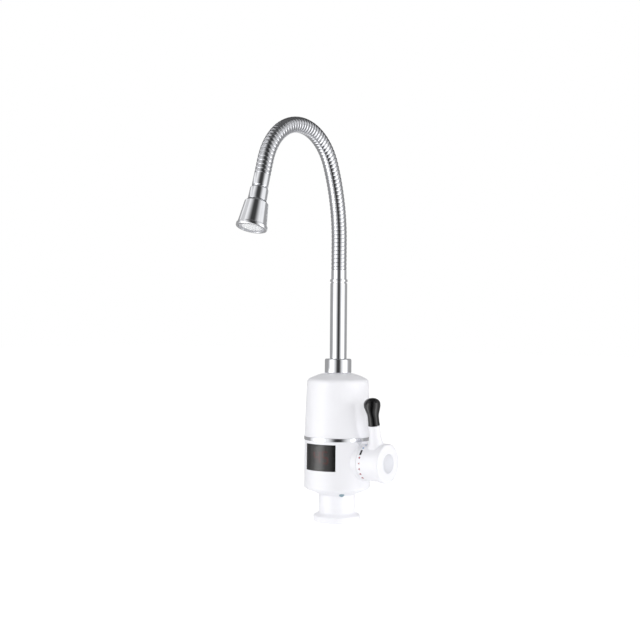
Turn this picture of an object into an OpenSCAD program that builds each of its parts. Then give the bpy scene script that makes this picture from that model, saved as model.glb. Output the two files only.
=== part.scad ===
// Instant water heater tap with a bendable spout.
// Millimetres. It stands on z = 0 with +Z up, the spout reaches to -Y and the handle is on +X.

/* [Foot and inlet] */
// Diameter of the foot flange
foot_d = 50; // [46:1:60]
// Height at which the flange starts to run into the neck
flange_h = 8; // [7:0.5:10]
// Rounding of the flange's bottom edge
flange_round = 2.6; // [1:0.2:3.6]
// Diameter of the neck
neck_d = 38.7; // [37:0.1:42]
// Height of the neck's top above the sink
neck_h = 29; // [28:1:40]
// Outer diameter of the foot's spigot inside the casing
spigot_d = 33; // [32:0.5:35]
// Wall radius of the inlet thread, G1/2 minor diameter halved
thread_r = 9.3155; // [9:0.1:9.6]
// Length of the inlet thread
thread_len = 12; // [10:0.5:14]
// Outer diameter of the brass insert
insert_d = 26; // [25:0.5:27]
// Inner diameter of the gasket under the foot
gasket_in_d = 31; // [29:0.5:34]
// Outer diameter of the gasket under the foot
gasket_out_d = 41; // [38:0.5:43]
// Thickness of the gasket under the foot
gasket_t = 1.8; // [1:0.2:2.4]

/* [Casing] */
// Outer diameter of the lower casing
case_d = 70; // [68:1:76]
// Wall of the casing
case_wall = 2.4; // [2:0.1:2.8]
// Height of the cone under the casing
cone_h = 6.6; // [5:0.2:9]
// Diameter of the upper casing at its shoulder
shoulder_d = 65.8; // [64.8:0.2:68]
// Rounding between the upper casing and its dome
shoulder_round = 5.2; // [3:0.2:7]
// Height of the dome above the shoulder
dome_h = 5.2; // [4:0.2:8]
// Height of the chrome belt
belt_h = 3.7; // [3:0.1:5]
// How far the belt stands out of the casing
belt_proud = 0.5; // [0.2:0.1:1]
// Height of the lap between the two casings
lap_h = 3; // [2:0.2:4]

/* [Window and display] */
// Half of the angle that the window covers
window_half_angle = 32; // [26:1:36]
// Height of the window
window_h = 27.7; // [24:0.5:30]
// Height of the window's bottom above the neck
window_rise = 27; // [25:0.5:29]
// Thickness of the window
window_t = 3.4; // [2.8:0.2:4]
// Height of one digit
digit_h = 13; // [9:0.5:14]
// Width of one digit
digit_w = 7; // [5:0.5:8]
// Width of a digit's segment
segment_w = 1.5; // [1:0.1:1.8]

/* [Valve] */
// Height of the valve axis above the neck
valve_rise = 36.2; // [36:0.2:44]
// Radius of the valve body
valve_r = 16; // [15.6:0.1:16.2]
// Outer radius of the barrel and of the dial skirt
barrel_r = 19.2; // [19:0.1:21]
// Radius of the cartridge
cartridge_r = 12.8; // [12:0.1:13]
// Distance of each port from the valve axis
port_offset = 4.7; // [4.5:0.1:5.2]
// Radius of the vertical inlet pipe
pipe_r = 7.6; // [7:0.1:8]
// Radius of the cartridge spindle
spindle_r = 4; // [3.6:0.1:4.4]
// Distance of the outlet stem behind the tap's axis
stem_back = 4; // [3.5:0.1:4.4]
// Travel of the flow switch plunger
plunger_travel = 2; // [1.6:0.1:2.2]

/* [Handle] */
// Length of the dial skirt
skirt_len = 21.4; // [20:0.2:24]
// Outer radius of the handle cap
cap_r = 20.6; // [20.2:0.1:22]
// Length of the handle cap
cap_len = 6.6; // [6.4:0.1:9]
// Rounding of the cap's outer edge
cap_round = 1.8; // [1:0.2:2.6]
// Radius of the bowl in the cap's face
bowl_r = 9.6; // [8:0.2:11]
// Depth of the bowl in the cap's face
bowl_depth = 2.8; // [1:0.2:2.8]
// Tilt of the lever from upright towards the front, as it stands
lever_tilt = 10.5; // [0:0.5:20]
// Radius of the lever stem where the grip starts
stem_r = 6.1; // [5.6:0.1:6.6]
// Distance of the grip's lower end from the valve axis
grip_start = 40.4; // [36:0.2:44]
// Length of the grip
grip_len = 29; // [28:0.2:36]
// Radius of the grip's head
grip_head_r = 8.7; // [8:0.1:10]
// Radius of the grip's waist
grip_waist_r = 5.9; // [5.4:0.1:6.6]
// Angle between the dial's marks
mark_step = 17.8; // [15:0.2:19]
// Angle of the off mark from the top towards the front
off_angle = 53; // [50:1:60]

/* [Spout] */
// Outer diameter of the union nut
nut_d = 28.5; // [27:0.5:32]
// Height of the union nut
nut_h = 15.5; // [14.5:0.5:18]
// Outer diameter of the straight tube
tube_d = 18; // [17.6:0.1:19]
// Wall of the straight tube
tube_wall = 1.4; // [1:0.1:1.6]
// Length of the tube that shows above the nut
tube_len = 80; // [60:1:120]
// Outer diameter of the hose over its ribs
hose_d = 16.3; // [16:0.1:17]
// Depth of the grooves between the ribs
rib_depth = 0.5; // [0.3:0.05:0.9]
// Distance from rib to rib
rib_pitch = 4.2; // [3:0.1:6]
// Length of the straight run above the tube
hose_rise = 44; // [40:1:60]
// Radius of the hose's first bend
bend1_r = 196; // [150:2:240]
// Heading at the end of the first bend, from upright
bend1_angle = 24; // [15:1:30]
// Radius of the hose's main bend
bend2_r = 59; // [50:1:80]
// Heading at the end of the main bend, from upright
bend2_angle = 163; // [150:1:175]
// Length of the straight run above the head
hose_drop = 28; // [28:1:40]
// Radius of the inner hose
liner_r = 5.4; // [5:0.1:5.5]

/* [Spray head] */
// Length of the head's collar
collar_len = 14.5; // [12:0.5:18]
// Radius of the head's collar
collar_r = 9.4; // [9:0.1:10]
// Length of the bell
bell_len = 28.5; // [26:0.5:34]
// Radius of the bell at its shoulder
bell_top_r = 11.8; // [10.8:0.1:12]
// Radius of the bell above its rim
bell_low_r = 14.5; // [14:0.1:16]
// Radius of the rim
rim_r = 15.5; // [15.2:0.1:17]
// Travel of the bell between its two sprays
bell_travel = 4; // [3:0.5:5]
// Radius of the outlet disc
outlet_r = 10.2; // [9.4:0.1:10.4]

/* [Heater] */
// Inner height of the heating chamber
tank_h = 43; // [42:1:60]
// Wall of the heating chamber
tank_wall = 1.8; // [1.4:0.1:2.2]
// Radius of the heater's winding
coil_r = 15; // [14.6:0.1:15.6]
// Radius of the heater's tube
coil_tube_r = 2.6; // [2.2:0.1:2.8]
// Rise of the heater for each turn
coil_pitch = 7; // [6.4:0.2:7.4]

/* [Mains inlet] */
// Wall radius of the cable gland's hole
gland_r = 3.6; // [3:0.1:4]
// Height of the gland above the neck
gland_rise = 15; // [14.8:0.1:16]

/* [Fits] */
// Clearance between pieces that don't move on each other
fit = 0.1; // [0.05:0.01:0.15]
// Clearance round a shaft that turns or slides
run = 0.06; // [0.03:0.01:0.09]
// Gap between the casing and the turning handle
turn_gap = 0.4; // [0.3:0.05:0.8]

/* [Hidden] */
$fn = 96;
// Sides of the large rounds that cut the smallest pieces
fine = 1440;
// How far a cutter runs past the face that it opens
over = 1;

// Foot
foot_r = foot_d / 2;
neck_r = neck_d / 2;
spigot_r = spigot_d / 2;
insert_r = insert_d / 2;
neck_fillet = 3.2;
knurl_z = 9;
knurl_h = 4;
knurl_depth = 1.2;
relief_h = 2.2;
relief_r = thread_r + 0.7;
throat_r = 6;
socket_z = thread_len + relief_h + 4;
insert_top = socket_z + 6;
washer_t = relief_h - 2 * fit;
filter_t = 0.8;
lock_nut_h = 5;
floor_t = 2.8;
floor_z = neck_h + floor_t;
lock_nut_r = spigot_r + 4.4;
spigot_top = floor_z + lock_nut_h + 1.1;

// Casing
case_r = case_d / 2;
case_in = case_r - case_wall;
cone_top = neck_h + cone_h;
valve_z = neck_h + valve_rise;
belt_z = valve_z + barrel_r + 2.3;
belt_top = belt_z + belt_h;
belt_r = case_r + belt_proud;
lap_r = case_r - case_wall / 2 - 0.05;
lap_top = belt_top + lap_h;
shoulder_r = shoulder_d / 2;
cone_edge = 1;

// Valve body along X
body_back = -12;
cavity_x = 7;
cavity_r = cartridge_r + fit;
valve_front = case_r - 2;
port_r = 3;
bore_r = 5;
outlet_r_in = 4;
stem_out_r = 6.5;
stem_base_r = 8;
stem_base_h = 2.8;
stem_z = valve_z + valve_r + stem_base_h;
stem_h = 6;
ring_t = 1.6;
ring_depth = 1;
flow_r = 9;
flow_depth = 3;

// Cartridge
seal_t = 1.4;
disc_x = cavity_x + seal_t + fit;
disc_t = 3;
disc_r = cartridge_r - 1.9;
move_x = disc_x + disc_t + fit;
drive_x = move_x + disc_t + fit;
drive_t = 4;
chamber_r = cartridge_r - 1.8;
chamber_end = drive_x + drive_t + 0.2;
cart_end = valve_front - 4.2;
neck_x = 42;
cart_neck_r = spindle_r + 2;
nut_flange_r = valve_r - 0.5;
nut_front = case_r + 1.1;

// Handle
skirt_x = case_r + 1.2 + turn_gap;
boss_front = case_r + 1.2;
cap_x = skirt_x + skirt_len;
cap_end = cap_x + cap_len;
shell_in = barrel_r - 2.6;
bowl_x = cap_end - bowl_depth;
plug_x = bowl_x - 1.3;
plug_r = bowl_r + 0.5;
hub_floor = plug_x - 2.6;
hub_boss_r = spindle_r + 4;
hub_boss_x = neck_x + 1;
spindle_end = hub_boss_x + 11.5;
screw_r = 1.5;
screw_head_r = 3.1;
screw_head_t = 2;
screw_head_x = plug_x - screw_head_t - 0.3;
lever_x = cap_x - 6.8;
flare_r = 38;
flare_angle = 26;
flare_top = 33;
pin_r = 3;
pin_len = 23;
mark_set = 4;
mark_x = skirt_x + mark_set;
mark_in = 0.5;
mark_count = 5;
mark_out = 0.12;

// Flow switch behind the valve body
membrane_t = 0.8;
cover_x = body_back - membrane_t - 2 * fit;
cover_len = 8;
cover_end = cover_x - cover_len;
cover_roof = 2;
cover_r = valve_r - 1.5;
cover_in = cover_r - 6.5;
plunger_gap = 0.4;
plunger_t = 1.8;
plunger_r = cover_in - 1;
pin_flow_r = 2;
plunger_tip = cover_end - 1.9;
switch_x = plunger_tip - plunger_travel - 0.3;
switch_depth = 6;
switch_half_w = 3.2;
switch_half_h = 10;
spring_r = 4.2;
spring_wire = 0.4;
spring_turns = 3;

// Heating chamber and its lid
lid_t = 3.5;
stub_h = 7;
stub_r = stem_out_r + 3;
tank_floor = stem_z + stub_h;
tank_in_z = tank_floor + 2;
flange_t = 4;
flange_gap = 1.1;
flange_r = shoulder_r - case_wall - flange_gap;
tank_r = flange_r - 4.9;
tank_in = tank_r - tank_wall;
tank_top = tank_in_z + tank_h + 2;
lid_top = tank_top + lid_t;
lid_plug_h = 4.5;
lid_plug_r = tank_in - fit;
lid_boss_r = 11.5;
lid_boss_h = 6.5;
lid_screw_pcd = (flange_r + tank_r) / 2;
lid_screw_count = 4;
lid_screw_len = 11;

// Outlet
nipple_in_r = 8.5;
nipple_foot = lid_top + 1.6;
nipple_flange_z = nipple_foot + 7.9;
nipple_flange_t = 3.8;
nipple_flange_r = 14;
nipple_r = 10.4;
dome_top = nipple_flange_z + nipple_flange_t + fit + 2.5;
dome_in = dome_top - 2.5;
shoulder_z = dome_top - dome_h;
nut_r = nut_d / 2;
nut_top = dome_top + nut_h;
nipple_top = nut_top - 5;
tail_socket_r = 7.2;
tail_r = tail_socket_r - run;
tail_foot = nipple_flange_z + 1.2;
tail_bore = 5;
tail_flange_t = 1.7;
tail_flange_r = 10.2;
tail_ring_z = [tail_foot + 3, tail_foot + 8];
glide_t = 1;
roof_z = nut_top - 2;

// Tube and hose
tube_r = tube_d / 2;
tube_in = tube_r - tube_wall;
tube_foot = nipple_top + fit + tail_flange_t;
tube_top = nut_top + tube_len;
hose_r = hose_d / 2;
groove_r = hose_r - rib_depth;
hose_bore = liner_r + 0.8;
ferrule_len = 14;
ferrule_top_len = 12;
ferrule_rim_r = tube_r + 0.5;
ferrule_rim_t = 4;
len1 = bend1_r * bend1_angle * PI / 180;
len2 = bend2_r * (bend2_angle - bend1_angle) * PI / 180;
hose_len = hose_rise + len1 + len2 + hose_drop;
u1 = bend1_r * (1 - cos(bend1_angle));
z1 = tube_top + hose_rise + bend1_r * sin(bend1_angle);
u2 = u1 + bend2_r * (cos(bend1_angle) - cos(bend2_angle));
z2 = z1 + bend2_r * (sin(bend2_angle) - sin(bend1_angle));
head_u = u2 + hose_drop * sin(bend2_angle);
head_z = z2 + hose_drop * cos(bend2_angle);
hose_sides = 12;
rib_start = ferrule_len;
rib_end = hose_len - ferrule_top_len;
rib_count = floor((rib_end - rib_start) / rib_pitch);
rib_step = (rib_end - rib_start) / rib_count;
bore_steps = 40;

// Spray head, measured along its own axis from the hose's end
groove_len = 1.8;
head_stem_r = 7;
head_ring_set = 6.5;
head_ring_z = collar_len + head_ring_set;
bell_start = collar_len + 0.3;
bell_end = bell_start + bell_len;
rim_len = 3.2;
rim_start = bell_end - rim_len;
bell_slide_len = 13;
bell_slide_end = bell_start + bell_slide_len;
head_stem_end = bell_slide_end + bell_travel + 2.7;
bell_cup_r = 12.6;
bell_cup_len = 11;
bell_cup_z = bell_end - bell_cup_len;
aerator_z = bell_cup_z + 0.5;
aerator_end = bell_end - 0.7;
plate_z = aerator_end - 1.7;
plate_t = 1.2;
screen_z = head_stem_end + 2;

// Boards and terminals
board_t = 1.6;
board_half_w = 18.4;
display_set = 10;
display_y = -(case_in - display_set);
board_set = 8.7;
board_y = case_in - board_set;
rail_w = 6.6;
rail_t = 1.6;
window_z = neck_h + window_rise;
window_in = case_r - window_t;
lens_lip = 1.6;
frame_half_w = 13;
digit_step = digit_w / 2 + 1.4;
frame_front = -(window_in - 3);
board_z = window_z - 1;
board_h = 29;
gland_z = neck_h + gland_rise;
pad_r = 10.5;
pad_y = case_r + 0.6;
gland_flange_t = 2.7;
gland_flange_r = 8.5;
gland_body_r = 6;
gland_in = case_in - 4;
ledge_z = spigot_top + 0.1;
ledge_t = 2;
block_h = 12;
block_half_w = 11;
block_depth = 9;
block_y = lock_nut_r + 0.6 - 4.6;

// Heater path
coil_z = tank_in_z + 6;
coil_turns = 3;
coil_steps = 16;
coil_sides = 8;
coil_bend = 5;
coil_in_r = 6.5;
coil_lift = 4;
leg_foot = stem_z + 1;
// Angle that brings the inner leg to the side away from the outlet stem
coil_start = 180 - atan(coil_bend / coil_in_r);
leg_out = coil_r * coil_dir(coil_start) - coil_bend * coil_dir(coil_start + 90);
leg_in = coil_in_r * coil_dir(coil_start + 180) + coil_bend * coil_dir(coil_start + 270);

// Points of an arc in a profile
function arc(cx, cz, r, from, to, n) =
  [for (i = [0 : n]) let (a = from + (to - from) * i / n) [cx + r * cos(a), cz + r * sin(a)]];

// Level direction at an angle round the tap's axis
function coil_dir(a) = [cos(a), sin(a), 0];

// Smooth step from 0 to 1
function ease(t) = let (c = min(1, max(0, t))) c * c * (3 - 2 * c);

// Heading of the hose at a distance along it, from upright towards -Y
function heading(s) =
  s < hose_rise ? 0
  : s < hose_rise + len1 ? (s - hose_rise) / bend1_r * 180 / PI
  : s < hose_rise + len1 + len2 ? bend1_angle + (s - hose_rise - len1) / bend2_r * 180 / PI
  : bend2_angle;

// Place of the hose at a distance along it, as reach and height
function reach(s) =
  let (a = heading(s))
  s < hose_rise ? 0
  : s < hose_rise + len1 ? bend1_r * (1 - cos(a))
  : s < hose_rise + len1 + len2 ? u1 + bend2_r * (cos(bend1_angle) - cos(a))
  : u2 + (s - hose_rise - len1 - len2) * sin(bend2_angle);
function height(s) =
  let (a = heading(s))
  s < hose_rise ? tube_top + s
  : s < hose_rise + len1 ? tube_top + hose_rise + bend1_r * sin(a)
  : s < hose_rise + len1 + len2 ? z1 + bend2_r * (sin(a) - sin(bend1_angle))
  : z2 + (s - hose_rise - len1 - len2) * cos(bend2_angle);

// One ring of points round the hose
function hose_ring(s, r) =
  let (a = heading(s), y = -reach(s), z = height(s))
  [for (i = [0 : hose_sides - 1])
    let (p = 360 * (i + 0.5) / hose_sides)
    [r * cos(p), y - r * sin(p) * cos(a), z - r * sin(p) * sin(a)]];

// One ring of points round a path, square to its direction
function path_ring(at, along, side, r, sides) =
  let (
    t = along / norm(along),
    b = cross(t, side) / norm(cross(t, side)),
    n = cross(b, t)
  )
  [for (i = [0 : sides - 1])
    let (p = 360 * i / sides)
    at + r * (cos(p) * n - sin(p) * b)];

// Points and side directions of a path become rings
function path_rings(points, sides_of, r, sides) =
  let (last = len(points) - 1)
  [for (i = [0 : last])
    path_ring(points[i], points[min(i + 1, last)] - points[max(i - 1, 0)], sides_of[i], r, sides)];

// Two triangles for each stretch between two rings
function band(k, next, sides) =
  [for (j = [0 : sides - 1])
    let (q = (j + 1) % sides)
    for (tri = [
      [k * sides + j, k * sides + q, next * sides + q],
      [k * sides + j, next * sides + q, next * sides + j]
    ]) tri];

// Triangles that close one end of a tube
function cap(first, sides, flip) =
  [for (j = [1 : sides - 2])
    flip ? [first, first + j, first + j + 1] : [first, first + j + 1, first + j]];

// Rings in a closed loop make a hollow tube
module ring_loop(rings) {
  n = len(rings);
  sides = len(rings[0]);
  polyhedron(
    points = [for (r = rings) for (p = r) p],
    faces = [for (k = [0 : n - 1]) for (f = band(k, (k + 1) % n, sides)) f]
  );
}

// Rings in a row make a solid rod
module ring_rod(rings) {
  n = len(rings);
  sides = len(rings[0]);
  polyhedron(
    points = [for (r = rings) for (p = r) p],
    faces = concat(
      [for (k = [0 : n - 2]) for (f = band(k, k + 1, sides)) f],
      cap(0, sides, false),
      cap((n - 1) * sides, sides, true)
    )
  );
}

// A ring or tube that stands on a height
module ring_z(r_out, r_in, z, h) {
  translate([0, 0, z])
    difference() {
      cylinder(r = r_out, h = h);
      translate([0, 0, -over]) cylinder(r = r_in, h = h + 2 * over);
    }
}

// Turns the profile's height into a distance along X on the valve axis
module on_valve_axis() {
  translate([0, 0, valve_z]) rotate([0, 90, 0]) children();
}

// A cylinder along X, beside the valve axis by dz
module rod_x(r, x, len, dz = 0) {
  translate([x, 0, valve_z + dz]) rotate([0, 90, 0]) cylinder(r = r, h = len);
}

// A cylinder that points to +Y at the gland's height
module rod_y(r, y, len) {
  translate([0, y, gland_z]) rotate([-90, 0, 0]) cylinder(r = r, h = len);
}

// Puts things on the lever, whose own height is the distance from the valve axis
module on_lever() {
  translate([lever_x, 0, valve_z]) rotate([lever_tilt, 0, 0]) children();
}

// Puts things on the head's axis, with their height as the distance from the hose's end
module on_head() {
  translate([0, -head_u, head_z]) rotate([bend2_angle, 0, 0]) children();
}

// A stretch of a pipe's wall round the tap's axis, centred on -Y
module front_sector(half_angle, r_in, r_out, z, h) {
  translate([0, 0, z])
    rotate([0, 0, -90 - half_angle])
      rotate_extrude(angle = 2 * half_angle)
        translate([r_in, 0]) square([r_out - r_in, h]);
}

// Foot with its flange, neck and spigot
module foot() {
  color("white")
    difference() {
      rotate_extrude()
        polygon(concat(
          [[insert_r + fit, 0]],
          arc(foot_r - flange_round, flange_round, flange_round, -90, 0, 6),
          arc(foot_r - flange_round, flange_h - flange_round, flange_round, 0, 60, 5),
          arc(neck_r + neck_fillet, flange_h + neck_fillet, neck_fillet, 240, 180, 5),
          [
            [neck_r, neck_h],
            [spigot_r, neck_h],
            [spigot_r, spigot_top],
            [insert_r + fit, spigot_top]
          ]
        ));
      ring_z(gasket_out_d / 2 + fit, gasket_in_d / 2 - fit, -over, gasket_t + over);
      translate([0, 0, knurl_z - fit]) cylinder(r = insert_r + knurl_depth + fit, h = knurl_h + 2 * fit);
    }
}

module foot_gasket() {
  color("dimgray") ring_z(gasket_out_d / 2, gasket_in_d / 2, 0, gasket_t);
}

// Brass insert: thread, washer recess, throat and pipe socket
module inlet_insert() {
  color("goldenrod")
    difference() {
      union() {
        cylinder(r = insert_r, h = insert_top);
        translate([0, 0, knurl_z]) cylinder(r = insert_r + knurl_depth, h = knurl_h);
      }
      translate([0, 0, -over]) cylinder(r = thread_r, h = thread_len + over);
      translate([0, 0, thread_len]) cylinder(r = relief_r, h = relief_h);
      translate([0, 0, thread_len]) cylinder(r = throat_r, h = insert_top);
      translate([0, 0, socket_z]) cylinder(r = pipe_r + fit, h = insert_top);
    }
}

module inlet_washer() {
  color("black") ring_z(relief_r - fit, throat_r + 0.4, thread_len + fit, washer_t);
}

// Strainer disc inside the washer
module inlet_filter() {
  hole_r = 0.6;
  rings = 2;
  step = 2;
  color("silver")
    difference() {
      translate([0, 0, thread_len + (relief_h - filter_t) / 2]) cylinder(r = throat_r + 0.3, h = filter_t);
      for (k = [1 : rings], i = [0 : 6 * k - 1])
        rotate([0, 0, 60 / k * i])
          translate([k * step, 0, thread_len]) cylinder(r = hole_r, h = relief_h, $fn = 16);
    }
}

module base_lock_nut() {
  color("gainsboro")
    translate([0, 0, floor_z])
      difference() {
        cylinder(r = lock_nut_r, h = lock_nut_h, $fn = 6);
        translate([0, 0, -over]) cylinder(r = spigot_r + fit, h = lock_nut_h + 2 * over);
      }
}

// Grooved rails that hold a board on both sides of the casing
module board_rails(y, z, h) {
  for (sx = [-1, 1])
    difference() {
      intersection() {
        translate([sx * (board_half_w + rail_w / 2 - rail_t), y + board_t / 2, z + h / 2])
          cube([rail_w, board_t + 2 * rail_t, h], center = true);
        cylinder(r = case_r - case_wall / 2, h = belt_z);
      }
      translate([-board_half_w - fit, y - fit, z - over])
        cube([2 * (board_half_w + fit), board_t + 2 * fit, h + 2 * over]);
    }
}

// Lower casing with its barrel, gland pad, board rails and terminal ledge
module lower_shell() {
  color("white")
    difference() {
      union() {
        rotate_extrude()
          polygon(concat(
            [[spigot_r + fit, neck_h], [neck_r, neck_h], [case_r - 2 * cone_edge, cone_top - cone_edge]],
            [[case_r - cone_edge * 0.5, cone_top - cone_edge * 0.1], [case_r, cone_top + cone_edge]],
            [
              [case_r, belt_z],
              [lap_r, belt_z],
              [lap_r, lap_top - 0.2],
              [case_in, lap_top - 0.2],
              [case_in, cone_top + 1.6],
              [lock_nut_r + 0.5, floor_z],
              [spigot_r + fit, floor_z]
            ]
          ));
        rod_x(barrel_r, case_in - 6, boss_front - case_in + 6);
        rod_y(pad_r, case_in - 0.6, pad_y - case_in + 0.6);
        board_rails(display_y, board_z, board_h);
        board_rails(board_y, board_z, board_h);
        translate([-block_half_w + 2, lock_nut_r + 0.6, ledge_z - ledge_t])
          cube([2 * block_half_w - 4, case_in - lock_nut_r, ledge_t]);
      }
      rod_x(valve_r + turn_gap, 0, boss_front + over);
      rod_y(gland_body_r + fit, gland_in - over, case_r);
      front_sector(window_half_angle, window_in - over, case_r + over, window_z, window_h);
      front_sector(
        window_half_angle + 2.6, window_in - fit - over, case_in,
        window_z - lens_lip, window_h + 2 * lens_lip
      );
      marker_shape(fit);
      pointer_shape(0.05);
    }
}

// Upper casing with a slightly tapered wall and a shallow dome
module upper_shell() {
  dome_r = nut_r + 0.05;
  edge = arc(shoulder_r - shoulder_round, shoulder_z - shoulder_round, shoulder_round, 0, 62, 6);
  last = edge[6];
  bulge = 0.6;
  dome = [for (i = [1 : 5])
    let (t = i / 5)
    [last[0] + (dome_r - last[0]) * t, last[1] + (dome_top - last[1]) * t + bulge * sin(180 * t)]];
  color("white")
    rotate_extrude()
      polygon(concat(
        [[lap_r + fit, belt_top], [case_r, belt_top]],
        edge,
        dome,
        [
          [nipple_r + fit, dome_top],
          [nipple_r + fit, dome_in],
          [nipple_flange_r + 1, dome_in],
          [shoulder_r - case_wall - 1.4, shoulder_z - shoulder_round + 1.4],
          [shoulder_r - case_wall, shoulder_z - shoulder_round],
          [case_in, lap_top],
          [lap_r + fit, lap_top]
        ]
      ));
}

module trim_belt() {
  edge = 0.3;
  z = belt_z + 0.03;
  h = belt_h - 0.06;
  color("silver")
    rotate_extrude()
      polygon(concat(
        [[lap_r + fit, z]],
        arc(belt_r - edge, z + edge, edge, -90, 0, 4),
        arc(belt_r - edge, z + h - edge, edge, 0, 90, 4),
        [[lap_r + fit, z + h]]
      ));
}

// Smoked window with a lip behind the wall
module display_window() {
  color("darkslategray") {
    front_sector(
      window_half_angle - 0.2, window_in, case_r + 0.12, window_z + fit, window_h - 2 * fit
    );
    front_sector(
      window_half_angle + 2.2, window_in, case_in - fit,
      window_z - lens_lip + fit, window_h + 2 * (lens_lip - fit)
    );
  }
}

// Black frame between the display board and the window
module digit_frame() {
  z = window_z + 2.5;
  h = window_h - 5;
  well_w = digit_w + 1.2;
  well_z = window_z + window_h / 2 - digit_h / 2;
  color("black")
    difference() {
      translate([-frame_half_w, frame_front, z])
        cube([2 * frame_half_w, display_y - frame_front - 0.05, h]);
      for (sx = [-1, 1])
        translate([sx * digit_step - well_w / 2, frame_front + 1, well_z])
          cube([well_w, display_y - frame_front, digit_h]);
    }
}

// One segment of a digit, from its middle
module segment(x, z, upright) {
  long = upright ? (digit_h - 2 * segment_w) / 2 - 0.2 : digit_w - segment_w;
  size = upright ? [segment_w * 0.8, 0.4, long] : [long, 0.4, segment_w * 0.8];
  translate([x, frame_front - 0.2, z]) cube(size, center = true);
}

// Segments of one digit by name: top, middle, bottom, and the four uprights
module digit(x, parts) {
  mid = window_z + window_h / 2;
  half = digit_h / 2 - segment_w / 2;
  side = digit_w / 2 - segment_w / 2 + 0.5;
  for (p = parts) {
    if (p == "top") segment(x, mid + half, false);
    if (p == "mid") segment(x, mid, false);
    if (p == "low") segment(x, mid - half, false);
    if (p == "ul") segment(x - side, mid + half / 2, true);
    if (p == "ur") segment(x + side, mid + half / 2, true);
    if (p == "ll") segment(x - side, mid - half / 2, true);
    if (p == "lr") segment(x + side, mid - half / 2, true);
  }
}

// Two plain digits that read 45 degrees
module led_digits() {
  color("red") {
    digit(-digit_step, ["ul", "ur", "mid", "lr"]);
    digit(digit_step, ["top", "ul", "mid", "lr", "low"]);
  }
}

module display_board() {
  color("darkgreen")
    translate([-board_half_w, display_y, board_z]) cube([2 * board_half_w, board_t, board_h]);
}

// Domed stud under the casing's cone that marks the cold inlet, grown by a clearance for its hole
module marker_shape(grow) {
  stud_angle = 47;
  stud_tilt = 55;
  stud_r = 2.7;
  stud_set = 1.6;
  crown = 1.4;
  ball_r = (stud_r * stud_r + crown * crown) / (2 * crown);
  rotate([0, 0, stud_angle - 90])
    translate([neck_r + 4.65, 0, neck_h + 1.2])
      rotate([0, 90 + stud_tilt, 0])
        rotate_extrude()
          polygon(concat(
            [[0, -stud_set - grow], [stud_r + grow, -stud_set - grow]],
            arc(0, crown - ball_r, ball_r, acos(stud_r / ball_r), 75, 4),
            [[0, crown]]
          ));
}

module blue_marker() {
  color("steelblue") marker_shape(0);
}

// Small triangle above the dial, grown by a clearance for its recess
module pointer_shape(grow) {
  pointer_angle = 76;
  half_w = 3.6 + 2 * grow;
  top = belt_z - 0.4 + grow;
  tip = belt_z - 3.9 - grow;
  rotate([0, 0, pointer_angle - 90])
    translate([case_r - 0.6, 0, 0])
      rotate([90, 0, 90])
        linear_extrude(height = 0.9 + grow) polygon([[-half_w, top], [0, tip], [half_w, top]]);
}

module dial_pointer() {
  color("lightgray")
    intersection() {
      pointer_shape(0);
      cylinder(r = case_r + 0.25, h = belt_z, $fn = fine);
    }
}

// Brass body with the inlet pipe, the cartridge cavity, both ports and the flow chamber
module valve_body() {
  upper = valve_z + port_offset;
  lower = valve_z - port_offset;
  color("goldenrod")
    difference() {
      union() {
        rod_x(valve_r, body_back, valve_front - body_back);
        translate([0, 0, socket_z + fit]) cylinder(r = pipe_r, h = lower - socket_z);
        translate([-stem_back, 0, upper]) cylinder(r = stem_base_r, h = stem_z - upper);
        translate([-stem_back, 0, upper]) cylinder(r = stem_out_r, h = stem_z + stem_h - upper);
      }
      translate([0, 0, socket_z]) cylinder(r = bore_r, h = lower - socket_z + port_r);
      rod_x(port_r, 0, cavity_x + over, -port_offset);
      rod_x(cavity_r, cavity_x, valve_front);
      rod_x(port_r, -stem_back, cavity_x + stem_back + over, port_offset);
      translate([-stem_back, 0, upper - port_r]) cylinder(r = outlet_r_in, h = stem_z + stem_h);
      rod_x(flow_r, body_back - over, flow_depth + over);
      rod_x(port_r / 2, body_back, -stem_back - body_back, port_offset);
      ring_z(pipe_r + over, pipe_r - ring_depth, insert_top - 3.5, ring_t + 2 * fit);
    }
}

// Rubber rings of the water path: pipe, ports, lid and nipple
module seal_rings() {
  color("black") {
    ring_z(pipe_r + fit / 2, pipe_r - ring_depth + fit / 2, insert_top - 3.5 + fit, ring_t);
    for (side = [-1, 1])
      difference() {
        rod_x(port_r + 0.9, cavity_x + 0.05, seal_t, side * port_offset);
        rod_x(port_r, cavity_x - over, seal_t + 2 * over, side * port_offset);
      }
    ring_z(tank_in - 0.05, lid_plug_r - ring_depth + 0.05, tank_top - 3 + fit, ring_t);
    ring_z(nipple_in_r + 0.05, nipple_in_r - ring_depth + 0.05, nipple_foot + 1.6 + fit, ring_t);
  }
}

module fixed_disc() {
  color("ivory")
    difference() {
      rod_x(disc_r, disc_x, disc_t);
      for (side = [-1, 1]) rod_x(port_r - 0.5, disc_x - over, disc_t + 2 * over, side * port_offset);
    }
}

// Turning disc with the slot that joins the two ports
module moving_disc() {
  slot_r = port_r - 0.6;
  color("ivory")
    difference() {
      rod_x(disc_r - 0.2, move_x, disc_t);
      for (side = [-1, 1]) rod_x(slot_r, move_x - over, disc_t / 2 + over, side * port_offset);
      translate([move_x - over, -slot_r, valve_z - port_offset])
        cube([disc_t / 2 + over, 2 * slot_r, 2 * port_offset]);
    }
}

module cartridge_body() {
  color("whitesmoke")
    difference() {
      union() {
        rod_x(cartridge_r, disc_x - fit, cart_end - disc_x);
        rod_x(cart_neck_r, disc_x, neck_x - disc_x);
      }
      rod_x(chamber_r, cavity_x, chamber_end - cavity_x);
      rod_x(spindle_r + run, cavity_x, neck_x);
    }
}

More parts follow.
